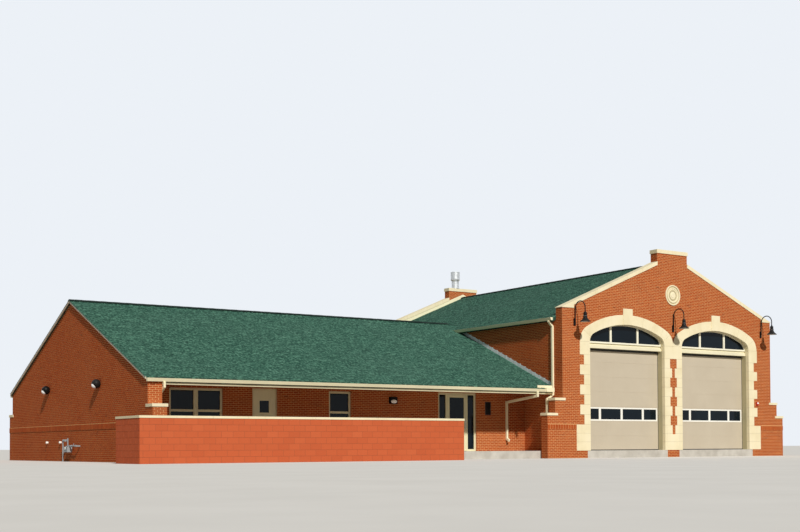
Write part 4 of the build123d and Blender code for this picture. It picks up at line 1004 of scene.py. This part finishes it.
def groove(bm, point, normal, within, width=0.008, depth=0.006, finish=1):
    """A narrow raked joint where a plane crosses the faces picked by within."""
    point, normal = Vector(point), Vector(normal).normalized()
    half = width / 2
    for side in (-half, half):
        picked = [face for face in bm.faces if within(face.calc_center_median())]
        saw(bm, around(picked), point + normal * side, normal)
    strip = []
    for face in bm.faces:
        centre = face.calc_center_median()
        flat = abs(face.normal.dot(normal)) < 0.5
        if flat and abs((centre - point).dot(normal)) < half * 0.9 and within(centre):
            strip.append(face)
    if strip:
        bmesh.ops.inset_region(bm, faces=strip, thickness=0.0003, depth=-depth, use_boundary=True,
                               use_even_offset=False)
        for face in strip:
            face.material_index = finish


def arch_half(centre, hand):
    """A test for faces on one half of a doorway's arch."""
    return lambda p: p.z > SPRINGING and (p.x - centre) * hand > 0


def door_surrounds():
    """Quoins, base stones and voussoirs with raked joints between them."""
    half_key = 0.27
    key_turn = math.acos(half_key / CROWN_REACH)
    levels = [BASE_STONE_TOP / 3, BASE_STONE_TOP * 2 / 3]
    levels += [BASE_STONE_TOP + row * QUOIN for row in range(QUOIN_ROWS + 1)]
    levels.append(SPRINGING - 0.006)
    for side, centre in zip(("left", "right"), DOOR_CENTRES):
        node = f"{side}_door_surround"
        bm = copy_of(node)
        saw(bm, whole(bm), (0, 0, SPRINGING), UP)
        saw(bm, whole(bm), (centre, 0, 0), RIGHTWARD)
        for level in levels:
            groove(bm, (0, 0, level), UP, lambda p: p.z < SPRINGING)
        for hand in (-1, 1):
            on_half = arch_half(centre, hand)
            for share in range(3):
                angle = CROWN_TURN + (key_turn - CROWN_TURN) * share / 3
                groove(bm, (centre, 0, SPRINGING + INNER_RISE - CROWN_REACH),
                       (-hand * math.sin(angle), 0, hand * math.cos(angle)), on_half)
            angle = CROWN_TURN / 2
            groove(bm, (centre + hand * CROWN_HALF, 0, SPRINGING),
                   (-hand * math.sin(angle), 0, math.cos(angle)), on_half)
        piece(node + "_stones", bm, (CAST_STONE, STONE_JOINT), "cast_stone", stands_for=node, edge=0.006)


def jointed(node, finishes, slot, edge, planes=(), width=0.008, depth=0.006, name=None):
    """A copy of a node with joints across it, which stands for the node."""
    bm = copy_of(node)
    for point, normal in planes:
        groove(bm, point, normal, lambda p: True, width, depth, min(1, len(finishes) - 1))
    piece(name or node + "_dressed", bm, finishes, slot, stands_for=node, edge=edge)


def stones(node, places=()):
    """A stone node with upright joints at some places along the front."""
    planes = [((x, 0, 0), RIGHTWARD) for x in places]
    jointed(node, (CAST_STONE, STONE_JOINT), "cast_stone", 0.006, planes, name=node + "_stones")


def copings():
    rake_stones = 6
    flat_stone = 1.22
    places = []
    for step in range(1, rake_stones):
        across = step * BLOCK_LEFT / rake_stones
        places += [across, BAY_WIDTH - across]
    for node in ("front_coping", "rear_coping"):
        stones(node, [*places, BAY_CENTRE])
    left, right = low("screen_coping").x, high("screen_coping").x
    count = round((right - left) / flat_stone)
    stones("screen_coping", [left + (right - left) * step / count for step in range(1, count)])
    stones("buttress_caps")
    stones("rear_door_lintels")


def medallion_rings():
    """The plaque, with its sunk ground and a lathed moulding between its rings in darker stone that paints
    the shade of the relief.
    """
    bm = copy_of("medallion")
    ground = -0.018
    # Faces of the sunk ground take the darker stone: painted shade in the recess
    for face in bm.faces:
        face.material_index = int(ground < face.calc_center_median().y < -0.001)
    heart = (low("medallion") + high("medallion")) / 2
    heart.y = ground - 0.001
    ring = [(0.165, -0.004), (0.165, 0.008), (0.20, 0.016), (0.235, 0.008), (0.235, -0.004), (0.165, -0.004)]
    # The moulding ring is in the darker stone too, a painted shade line
    lathe(bm, ring, heart, -BACKWARD, 64, 1)
    piece("medallion_rings", bm, (CAST_STONE, PAINTED_SHADE_STONE), "cast_stone", stands_for="medallion", edge=0.004)


# Doors, windows and trim

SECTION_JOINTS = (0.6, 1.195, 1.835, 2.44, 3.05, 3.66)
JAMB_PLATE = 0.004
SEAL = 0.012
FOOT_SEAL = 0.035
# Height of the dark strip under the door head, taller than a seal so that it paints the beam's shadow
HEAD_SHADOW_STRIP = 0.09
JAMB_FRONT = 0.14
SEAL_FOOT = 0.04
TRIM_BLOCK = (0.20, 0.248, DOOR_BEAM_BOTTOM + 0.132, DOOR_BEAM_BOTTOM + 0.208)
BEAM_TOP = DOOR_BEAM_BOTTOM + 0.21


def overhead_doors():
    """Sections with tongue joints, rubber round the edges, a dark strip under the head that paints the
    beam's shadow, and steel jamb plates.
    """
    for node in ("front_bay_doors", "rear_bay_doors"):
        planes = [((0, 0, level), UP) for level in SECTION_JOINTS if level < high(node).z]
        jointed(node, (DOOR_SKIN, DOOR_SKIN), "door_panel", 0.003, planes, 0.006, 0.005, node + "_sections")
    bm = bmesh.new()
    front = low("front_bay_doors").y
    rear = high("rear_bay_doors").y
    for left in DOORWAYS:
        right = left + DOOR_WIDTH
        for start, end in ((front - SEAL, front - 0.001), (rear + 0.001, rear + SEAL)):
            add_block(bm, left + JAMB_PLATE, right - JAMB_PLATE, start, end, 0, FOOT_SEAL, 1)
        # Dark rubber strip under the head beam: painted shadow of the beam on the door
        add_block(bm, left + 0.02, right - 0.02, front - 0.010, front - 0.001,
                  DOOR_BEAM_BOTTOM - HEAD_SHADOW_STRIP, DOOR_BEAM_BOTTOM - 0.002, 1)
        for jamb, out in ((left, 1), (right, -1)):
            inner = jamb + out * JAMB_PLATE
            add_block(bm, jamb, inner, JAMB_FRONT, front - 0.002, 0, DOOR_BEAM_BOTTOM)
            add_block(bm, inner, inner + out * SEAL, front - 0.014, front - 0.002, SEAL_FOOT,
                      DOOR_BEAM_BOTTOM, 1)
            add_block(bm, jamb, inner, *TRIM_BLOCK)
    ease(bm, 0.0015, 1)
    piece("door_seals_shadow_strips_and_jamb_plates", bm, (JAMB_PAINT, RUBBER), "door_panel")
    jointed("bay_door_window_strips", (WHITE_FRAME,), "white_frame", 0.004)
    transoms = copy_of("transom_frames")
    for face in transoms.faces:
        face.material_index = int(face.calc_center_median().z < BEAM_TOP)
    piece("transom_frames_dressed", transoms, (WARM_FRAME, BEAM_PAINT), "white_frame",
          stands_for="transom_frames", edge=0.004)


def wing_windows():
    """The frames, and a row of bricks on edge under each window."""
    jointed("wing_window_frames", (ALMOND_FRAME,), "bronze_frame", 0.004)
    bm = bmesh.new()
    porch, rear = frame_openings()
    for boxes, face, out in ((porch, PORCH_WALL, -1), (rear, WING_REAR, 1)):
        for left, right, foot, _ in boxes:
            if foot < GLAZED_LEVEL:
                continue
            count = max(4, round((right - left) / COURSE))
            width = (right - left) / count
            for step in range(count):
                start = left + step * width
                add_block(bm, start + JOINT / 2, start + width - JOINT / 2, face + out * SILL_PROUD,
                          face - out * 0.06, foot - 0.066, foot - 0.001)
            add_block(bm, left + 0.002, right - 0.002, face + out * (SILL_PROUD - 0.008),
                      face - out * 0.055, foot - 0.064, foot - 0.006, 1)
    brick_piece("window_sill_bricks", bm, 41, edge=0.003, rounds=1)


def door_hardware():
    """Pull, lever, lock and kick plates of the two hinged doors."""
    face = low("entry_frame").y
    left, right = low("entry_door").x, high("entry_door").x
    pull, pull_foot, pull_head = right - 0.06, 0.90, 1.30
    stand_off = face - 0.05
    stile = 0.12
    bm = bmesh.new()
    for level in (pull_foot + 0.05, pull_head - 0.05):
        add_bar(bm, (pull, face + 0.002, level), (pull, stand_off, level), 0.009)
    add_bar(bm, (pull, stand_off, pull_foot), (pull, stand_off, pull_head), 0.013, 16)
    add_block(bm, left + stile, right - stile, face - 0.006, face + 0.001, 0.015, 0.12)
    piece("entry_pull", bm, (BRUSHED,), "galvanised", "entry_door_leaf", smooth=35)
    left, right = low("porch_door").x, high("porch_door").x
    lever, level, lock_level = right - 0.07, 1.02, 1.18
    stand_off = face - 0.055
    kick_edge, kick_top = 0.03, 0.28
    bm = bmesh.new()
    add_block(bm, lever - 0.022, lever + 0.022, face - 0.008, face + 0.001, level - 0.1, level + 0.1)
    add_bar(bm, (lever, face, level), (lever, stand_off, level), 0.011)
    add_bar(bm, (lever + 0.008, stand_off, level), (lever - 0.115, stand_off, level), 0.009)
    lathe(bm, [(0, 0.012), (0.02, 0.010), (0.024, 0)], (lever, face - 0.008, lock_level), -BACKWARD, 20)
    add_block(bm, left + kick_edge, right - kick_edge, face - 0.003, face + 0.001, kick_edge, kick_top)
    piece("porch_door_lever", bm, (BRUSHED,), "galvanised", "porch_door_leaf", smooth=35)
    for node in ("entry_door", "porch_door"):
        piece(node + "_dressed", copy_of(node), (ALMOND_FRAME,), "bronze_frame", node + "_leaf", node,
              edge=0.003)


def gutters():
    """Troughs whose outer foot is drawn in."""
    troughs = copy_of("gutters")
    drawn_in = 0.045
    past = 0.1
    for vert in troughs.verts:
        place = vert.co
        high_up = place.z >= WING_EAVE_TOP
        if (GUTTER_TOP if high_up else WING_EAVE_TOP) - place.z < past:
            continue
        at = 0 if high_up else 1
        first, last = (-BAY_EAVE, BAY_WIDTH + BAY_EAVE) if high_up else (WING_EAVE_LINE, WING_REAR_EAVE_LINE)
        if place[at] < first - past:
            place[at] += drawn_in
        elif place[at] > last + past:
            place[at] -= drawn_in
    piece("gutters_dressed", troughs, (CREAM_TRIM,), "cream_trim", stands_for="gutters", edge=0.008)


def eave_trim():
    """The fascia over the porch beam with its cover strips, and the pipes, box and rake board."""
    bm = bmesh.new()
    top = WING_EAVE_TOP - ROOF_THICKNESS
    box_left = -0.152
    half_strip = 0.004
    add_block(bm, WING_PIER + 0.002, box_left, WING_EAVE_LINE + 0.002, WING_FRONT - 0.001,
              BEAM_BOTTOM + 0.004, top)
    for x in (WING_PIER + 0.3, -0.6):
        add_block(bm, x - half_strip, x + half_strip, WING_EAVE_LINE - 0.001, WING_FRONT,
                  BEAM_BOTTOM - 0.002, top)
    piece("eave_fascia", bm, (CREAM_TRIM,), "cream_trim")
    jointed("downspouts", (CREAM_TRIM,), "cream_trim", 0.010)
    jointed("eave_box", (CREAM_TRIM,), "cream_trim", 0.006)
    jointed("rake_board", (TAN_RAKE,), "cream_trim", 0.004)


def downspout_straps():
    """Two bands round each long upright run of pipe."""
    bm = bmesh.new()
    proud, tall, widest, shortest = 0.003, 0.025, 0.14, 0.8
    for points in islands("downspouts"):
        levels = sorted(p.z for p in points)
        drop, foot = max((above - below, below) for below, above in zip(levels, levels[1:]))
        ring = [p for p in points if min(abs(p.z - foot - drop), abs(p.z - foot)) < NEAR]
        x0, x1, y0, y1 = extents(ring)[:4]
        if drop > shortest and max(x1 - x0, y1 - y0) < widest:
            for level in (foot + 0.2 * drop, foot + 0.8 * drop):
                add_block(bm, x0 - proud, x1 + proud, y0 - proud, y1 + proud, level, level + tall)
    piece("downspout_straps", bm, (CREAM_TRIM,), "cream_trim")


def step_flashing():
    """Overlapping metal steps where the wing's roof meets the bay's wall."""
    bm = bmesh.new()
    stride = 2 * COURSE / WING_SLOPE
    first, lapped, upstand, lap = 0.75, 1.15, 0.07, 0.0015
    for hand in (1, -1):
        for step in range(int((WING_MIDDLE - 0.8) / stride)):
            lower = first + step * stride
            upper = lower + stride * lapped
            level = round((wing_roof_top(upper) + upstand) / COURSE) * COURSE
            if level > EAVE_BOTTOM:
                break
            ends = (lower, upper) if hand > 0 else (2 * WING_MIDDLE - upper, 2 * WING_MIDDLE - lower)
            outer = -0.0085 - lap * (step % 2)
            add_block(bm, outer, -SKIN_GAP, *ends, wing_roof_top(lower) - UNDER_CAP, level)
    piece("step_flashing", bm, (SHEET_METAL,), "galvanised")


# Lamps and lights

GLOBE_LENS = 0.112
LAMP_SHADE = (
    (0.017, 0.425), (0.026, 0.42), (0.030, 0.40), (0.052, 0.385), (0.070, 0.36), (0.074, 0.30),
    (0.074, 0.245), (0.088, 0.235), (0.088, 0.222), (0.078, 0.212), (0.082, 0.18), (0.098, 0.135),
    (0.128, 0.090), (0.170, 0.052), (0.205, 0.026), (0.213, 0.018), (0.215, 0.0), (0.209, 0.0),
    (0.205, 0.016),
)
SHADE_LINING = ((0.205, 0.016), (0.166, 0.046), (0.122, 0.084), (0.092, 0.130), (0.074, 0.18), (0.0, 0.182))
SHADE_RING = ((0.076, 0.226), (0.091, 0.226), (0.091, 0.231), (0.076, 0.231), (0.076, 0.226))
BULB = (
    (0.0, 0.036), (0.022, 0.042), (0.036, 0.064), (0.036, 0.084), (0.022, 0.118), (0.016, 0.15),
    (0.016, 0.18),
)


def only(kind, items):
    return [item for item in items if isinstance(item, kind)]


def drawn_on(bm, edges, climb):
    """Carries an open ring of edges straight up or down and returns the new ring."""
    made = bmesh.ops.extrude_edge_only(bm, edges=edges)["geom"]
    bmesh.ops.translate(bm, verts=only(bmesh.types.BMVert, made), vec=(0, 0, climb))
    return only(bmesh.types.BMEdge, made)


def gooseneck_lamps():
    """Wall plate with a stepped back, tube bent over in a half circle, bell shade and bulb."""
    bm = bmesh.new()
    plate_level = 5.205
    rim = 5.17
    neck = 0.38
    tube = 0.021
    solid_tube = 0.017
    stand_off = 0.06
    axis_y = low("gooseneck_lamps").y + max(radius for radius, _ in LAMP_SHADE)
    bend = (-axis_y - stand_off) / 2
    rise = high("gooseneck_lamps").z - solid_tube - bend
    for x in (WALL_LAMP_SIDE, BAY_CENTRE, BAY_WIDTH - WALL_LAMP_SIDE):
        for wide, back, proud, tall in ((0.055, 0, 0.022, 0.145), (0.040, 0.02, 0.05, 0.12)):
            add_block(bm, x - wide, x + wide, -proud, -back, plate_level - tall, plate_level + tall)
        arm = bmesh.new()
        start = Vector((x, -stand_off, plate_level - 0.02))
        bmesh.ops.create_circle(arm, cap_ends=True, segments=18, radius=tube,
                                matrix=Matrix.Translation(start))
        ring = drawn_on(arm, arm.edges[:], rise - start.z)
        swept = bmesh.ops.spin(arm, geom=ring, cent=(x, -stand_off - bend, rise), axis=RIGHTWARD,
                               dvec=(0, 0, 0), angle=math.pi, steps=28, use_duplicate=False)
        drawn_on(arm, only(bmesh.types.BMEdge, swept["geom_last"]), rim + neck - rise)
        bmesh.ops.recalc_face_normals(arm, faces=arm.faces[:])
        take_in(bm, arm)
        for profile, steps, finish in ((LAMP_SHADE, 48, 0), (SHADE_LINING, 48, 1), (SHADE_RING, 48, 3),
                                       (BULB, 24, 2)):
            lathe(bm, profile, (x, axis_y, rim), steps=steps, finish=finish)
    bmesh.ops.remove_doubles(bm, verts=bm.verts[:], dist=TINY / 20)
    piece("gooseneck_lamps_turned", bm, (LAMP_BRONZE, LAMP_INNER, LENS, BRUSHED), "lamp_bronze",
          stands_for="gooseneck_lamps", smooth=40)


def wall_lights():
    """Globe lights on the wing's end and the light by the doors, each with its lens."""
    jointed("wall_lights", (LAMP_BRONZE,), "lamp_bronze", 0.006)
    lenses = bmesh.new()
    for points in islands("wall_lights"):
        x0, x1, y0, y1, z0, z1 = extents(points)
        if x0 < WING_END:
            heart = ((x0 + x1) / 2 - 0.045, (y0 + y1) / 2, (z0 + z1) / 2 - 0.055)
            size = [GLOBE_LENS] * 3
        else:
            heart = ((x0 + x1) / 2, y0 + 0.04, z0 + 0.085)
            size = ((x1 - x0) / 2 - 0.01, 0.09, 0.08)
        bmesh.ops.create_uvsphere(lenses, u_segments=32, v_segments=20, radius=1,
                                  matrix=Matrix.Translation(heart) @ Matrix.Diagonal((*size, 1)))
    piece("light_lenses", lenses, (LENS,), "white_frame", smooth=40)


def meter_fittings():
    """Dial, flanges, bolts and a valve on the gas meter's pipes."""
    bm = bmesh.new()
    x = low("gas_meter").x
    axis = x + 0.095
    y = 7.85
    foot = 0.05
    dial = [(0.0, 0.014), (0.035, 0.014), (0.04, 0.008), (0.04, 0.0)]
    add_block(bm, x - 0.012, x + 0.01, y - 0.08, y + 0.08, foot + 0.09, foot + 0.18, 1)
    lathe(bm, dial, (x - 0.01, y, foot + 0.15), -RIGHTWARD, 24, 2)
    for place, level in ((6.99, 0.28), (7.45, 0.28), (8.2, 0.49), (8.34, 0.49)):
        add_bar(bm, (axis, place - 0.012, level), (axis, place + 0.012, level), 0.042, 20)
    valve, handle = 7.2, 0.36
    add_bar(bm, (axis, valve, 0.28), (axis, valve, handle), 0.012)
    add_bar(bm, (axis, valve - 0.04, handle), (axis, valve + 0.04, handle), 0.010)
    for across in (-0.15, 0.15):
        add_bar(bm, (axis, y + across, foot + 0.20), (axis, y + across, foot + 0.235), 0.045, 20)
    piece("meter_fittings", bm, (METER_PAINT, BRUSHED, WHITE_FRAME), "galvanised", smooth=40)


def small_fittings():
    """Vent hoods on the wing's end, the strobe and the plate without words."""
    bm = bmesh.new()
    vent_level = 0.42
    hood = [(0.0, 0.0), (0.048, 0.0), (0.05, 0.01), (0.04, 0.04), (0.0, 0.05)]
    for y in (9.05, 10.63):
        add_bar(bm, (WING_END, y, vent_level), (WING_END - 0.07, y, vent_level), 0.045, 20)
        lathe(bm, hood, (WING_END - 0.05, y, vent_level), -RIGHTWARD, 24)
    piece("vent_hoods", bm, (WHITE_FRAME,), "white_frame", smooth=40)
    strobe = ((11.54, 11.66, -0.05, 0, 1.98, 2.14), (11.56, 11.64, -0.075, -0.045, 2.05, 2.12))
    plaque = ((-2.09, -1.81, PORCH_WALL - 0.03, PORCH_WALL, 1.47, 2.0),
              (-2.07, -1.83, PORCH_WALL - 0.036, PORCH_WALL - 0.02, 1.49, 1.98))
    for name, boxes, finishes, slot, width, smooth in (
            ("wall_strobe", strobe, (RED_LENS, LENS), "white_frame", 0.006, 40),
            ("bare_plaque", plaque, (DARK_METAL, LAMP_BRONZE), "lamp_bronze", 0.004, None)):
        bm = bmesh.new()
        for finish, box in enumerate(boxes):
            add_block(bm, *box, finish)
        ease(bm, width, 2)
        piece(name, bm, finishes, slot, smooth=smooth)


def flue_cowl():
    """Spun steel pipe with a storm collar and a wider drum on top."""
    bm = bmesh.new()
    centre = (low("flue") + high("flue")) / 2
    foot = low("flue").z
    top = high("flue").z
    drum = high("flue").x - centre.x
    pipe = drum * 0.79
    lower = [(0, 0), (pipe + 0.05, 0), (pipe + 0.05, 0.012), (pipe + 0.02, 0.03), (pipe, 0.05),
             (pipe, 0.36), (pipe + 0.012, 0.375), (pipe, 0.39), (pipe, 0.42), (drum * 0.98, 0.45),
             (drum, 0.46), (drum, 0.49), (drum * 0.985, 0.495)]
    upper = [(drum * 0.985, 0.04), (drum, 0.035), (drum, 0.004), (drum - 0.006, 0), (drum - 0.02, 0),
             (drum - 0.025, 0.012), (0, 0.006)]
    profile = [(radius, foot + climb) for radius, climb in lower]
    profile += [(radius, top - drop) for radius, drop in upper]
    lathe(bm, profile, (centre.x, centre.y, 0), steps=64)
    piece("flue_spun", bm, (GALVANISED,), "galvanised", stands_for="flue", smooth=35)


# The frame's own nodes first, then everything laid over them

dress_frame()
lay_bay_ends()
parapet_flashing()
lay_bay_sides()
lay_wing_gable()
lay_wing_walls()
lay_belt()
lay_screen_wall()
lay_wing_shingles()
lay_bay_shingles()
ridge_vents()
door_surrounds()
copings()
medallion_rings()
overhead_doors()
wing_windows()
door_hardware()
gutters()
eave_trim()
downspout_straps()
step_flashing()
gooseneck_lamps()
wall_lights()
meter_fittings()
small_fittings()
flue_cowl()

# Floor, backdrop, light and camera

CAMERA_SITE = Vector((-33.066, -37.765, 0.173))
CAMERA_YAW = 33.844
CAMERA_PITCH = 1.366
CAMERA_ROLL = -0.288
FOCAL_PIXELS = 1240.7
PRINCIPAL = (402.73, 417.64)
PICTURE = (800, 532)
SENSOR = 36.0
FLOOR_REACH = 900.0
FLOOR_BOUNCE = (0.46, 0.43, 0.38)
SUN_FROM = Vector((-0.22, -0.79, 0.62))
SUN_STRENGTH = 3.5
SUN_SOFTNESS = 3.0
SUN_COLOUR = (1.0, 0.97, 0.92)
SKY_COLOUR = (0.90, 0.94, 1.0, 1)
SKY_STRENGTH = 0.125
BACKDROP_COLOUR = (0.84, 0.88, 0.93, 1)


def lay_floor():
    bm = bmesh.new()
    bmesh.ops.create_grid(bm, x_segments=1, y_segments=1, size=FLOOR_REACH)
    finish = Finish("pale_floor", (0.80, 0.79, 0.76), 0.95, Specular_IOR_Level=0.0)
    seen = finish.ramp(finish.noise(0.6, 3), (0.3, (0.78, 0.77, 0.74)), (0.7, (0.82, 0.81, 0.78)))
    camera_ray = finish.node("ShaderNodeLightPath").outputs["Is Camera Ray"]
    finish.paint(finish.blend(camera_ray, FLOOR_BOUNCE, seen))
    add_object("pale_floor", bm, (finish,))


def light_sun():
    sun = bpy.data.objects.new("key_light", bpy.data.lights.new("key_light", "SUN"))
    sun.data.energy = SUN_STRENGTH
    sun.data.angle = math.radians(SUN_SOFTNESS)
    sun.data.color = SUN_COLOUR
    sun.rotation_mode = "QUATERNION"
    sun.rotation_quaternion = SUN_FROM.to_track_quat("Z", "Y")
    bpy.context.scene.collection.objects.link(sun)


def light_sky():
    """A dim sky that lights the scene, and a pale one that is seen, also in glass."""
    world = bpy.data.worlds.new("studio")
    bpy.context.scene.world = world
    world.use_nodes = True
    nodes, links = world.node_tree.nodes, world.node_tree.links
    sky = nodes["Background"]
    backdrop = nodes.new("ShaderNodeBackground")
    for node, colour, strength in ((sky, SKY_COLOUR, SKY_STRENGTH), (backdrop, BACKDROP_COLOUR, 1.0)):
        node.inputs["Color"].default_value = colour
        node.inputs["Strength"].default_value = strength
    path = nodes.new("ShaderNodeLightPath")
    seen = path.outputs["Is Camera Ray"]
    for ray in ("Is Glossy Ray", "Is Transmission Ray"):
        either = nodes.new("ShaderNodeMath")
        either.operation = "MAXIMUM"
        links.new(seen, either.inputs[0])
        links.new(path.outputs[ray], either.inputs[1])
        seen = either.outputs[0]
    mix = nodes.new("ShaderNodeMixShader")
    for socket, source in zip(mix.inputs, (seen, sky.outputs[0], backdrop.outputs[0])):
        links.new(source, socket)
    links.new(mix.outputs[0], nodes["World Output"].inputs["Surface"])


def place_camera():
    """The photograph's own view, with its principal point kept by the shift."""
    camera = bpy.data.objects.new("camera", bpy.data.cameras.new("camera"))
    bpy.context.scene.collection.objects.link(camera)
    bpy.context.scene.camera = camera
    camera.data.sensor_width = SENSOR
    camera.data.lens = FOCAL_PIXELS / PICTURE[0] * SENSOR
    camera.data.shift_x = -(PRINCIPAL[0] - PICTURE[0] / 2) / PICTURE[0]
    camera.data.shift_y = (PRINCIPAL[1] - PICTURE[1] / 2) / PICTURE[0]
    camera.data.clip_end = 2 * FLOOR_REACH
    yaw = Matrix.Rotation(-math.radians(CAMERA_YAW), 4, "Z")
    pitch = Matrix.Rotation(math.radians(90 + CAMERA_PITCH), 4, "X")
    roll = Matrix.Rotation(math.radians(CAMERA_ROLL), 4, "Z")
    camera.matrix_world = Matrix.Translation(CAMERA_SITE + SITE) @ yaw @ pitch @ roll


lay_floor()
light_sun()
light_sky()
place_camera()
bpy.context.scene.view_settings.view_transform = "Standard"
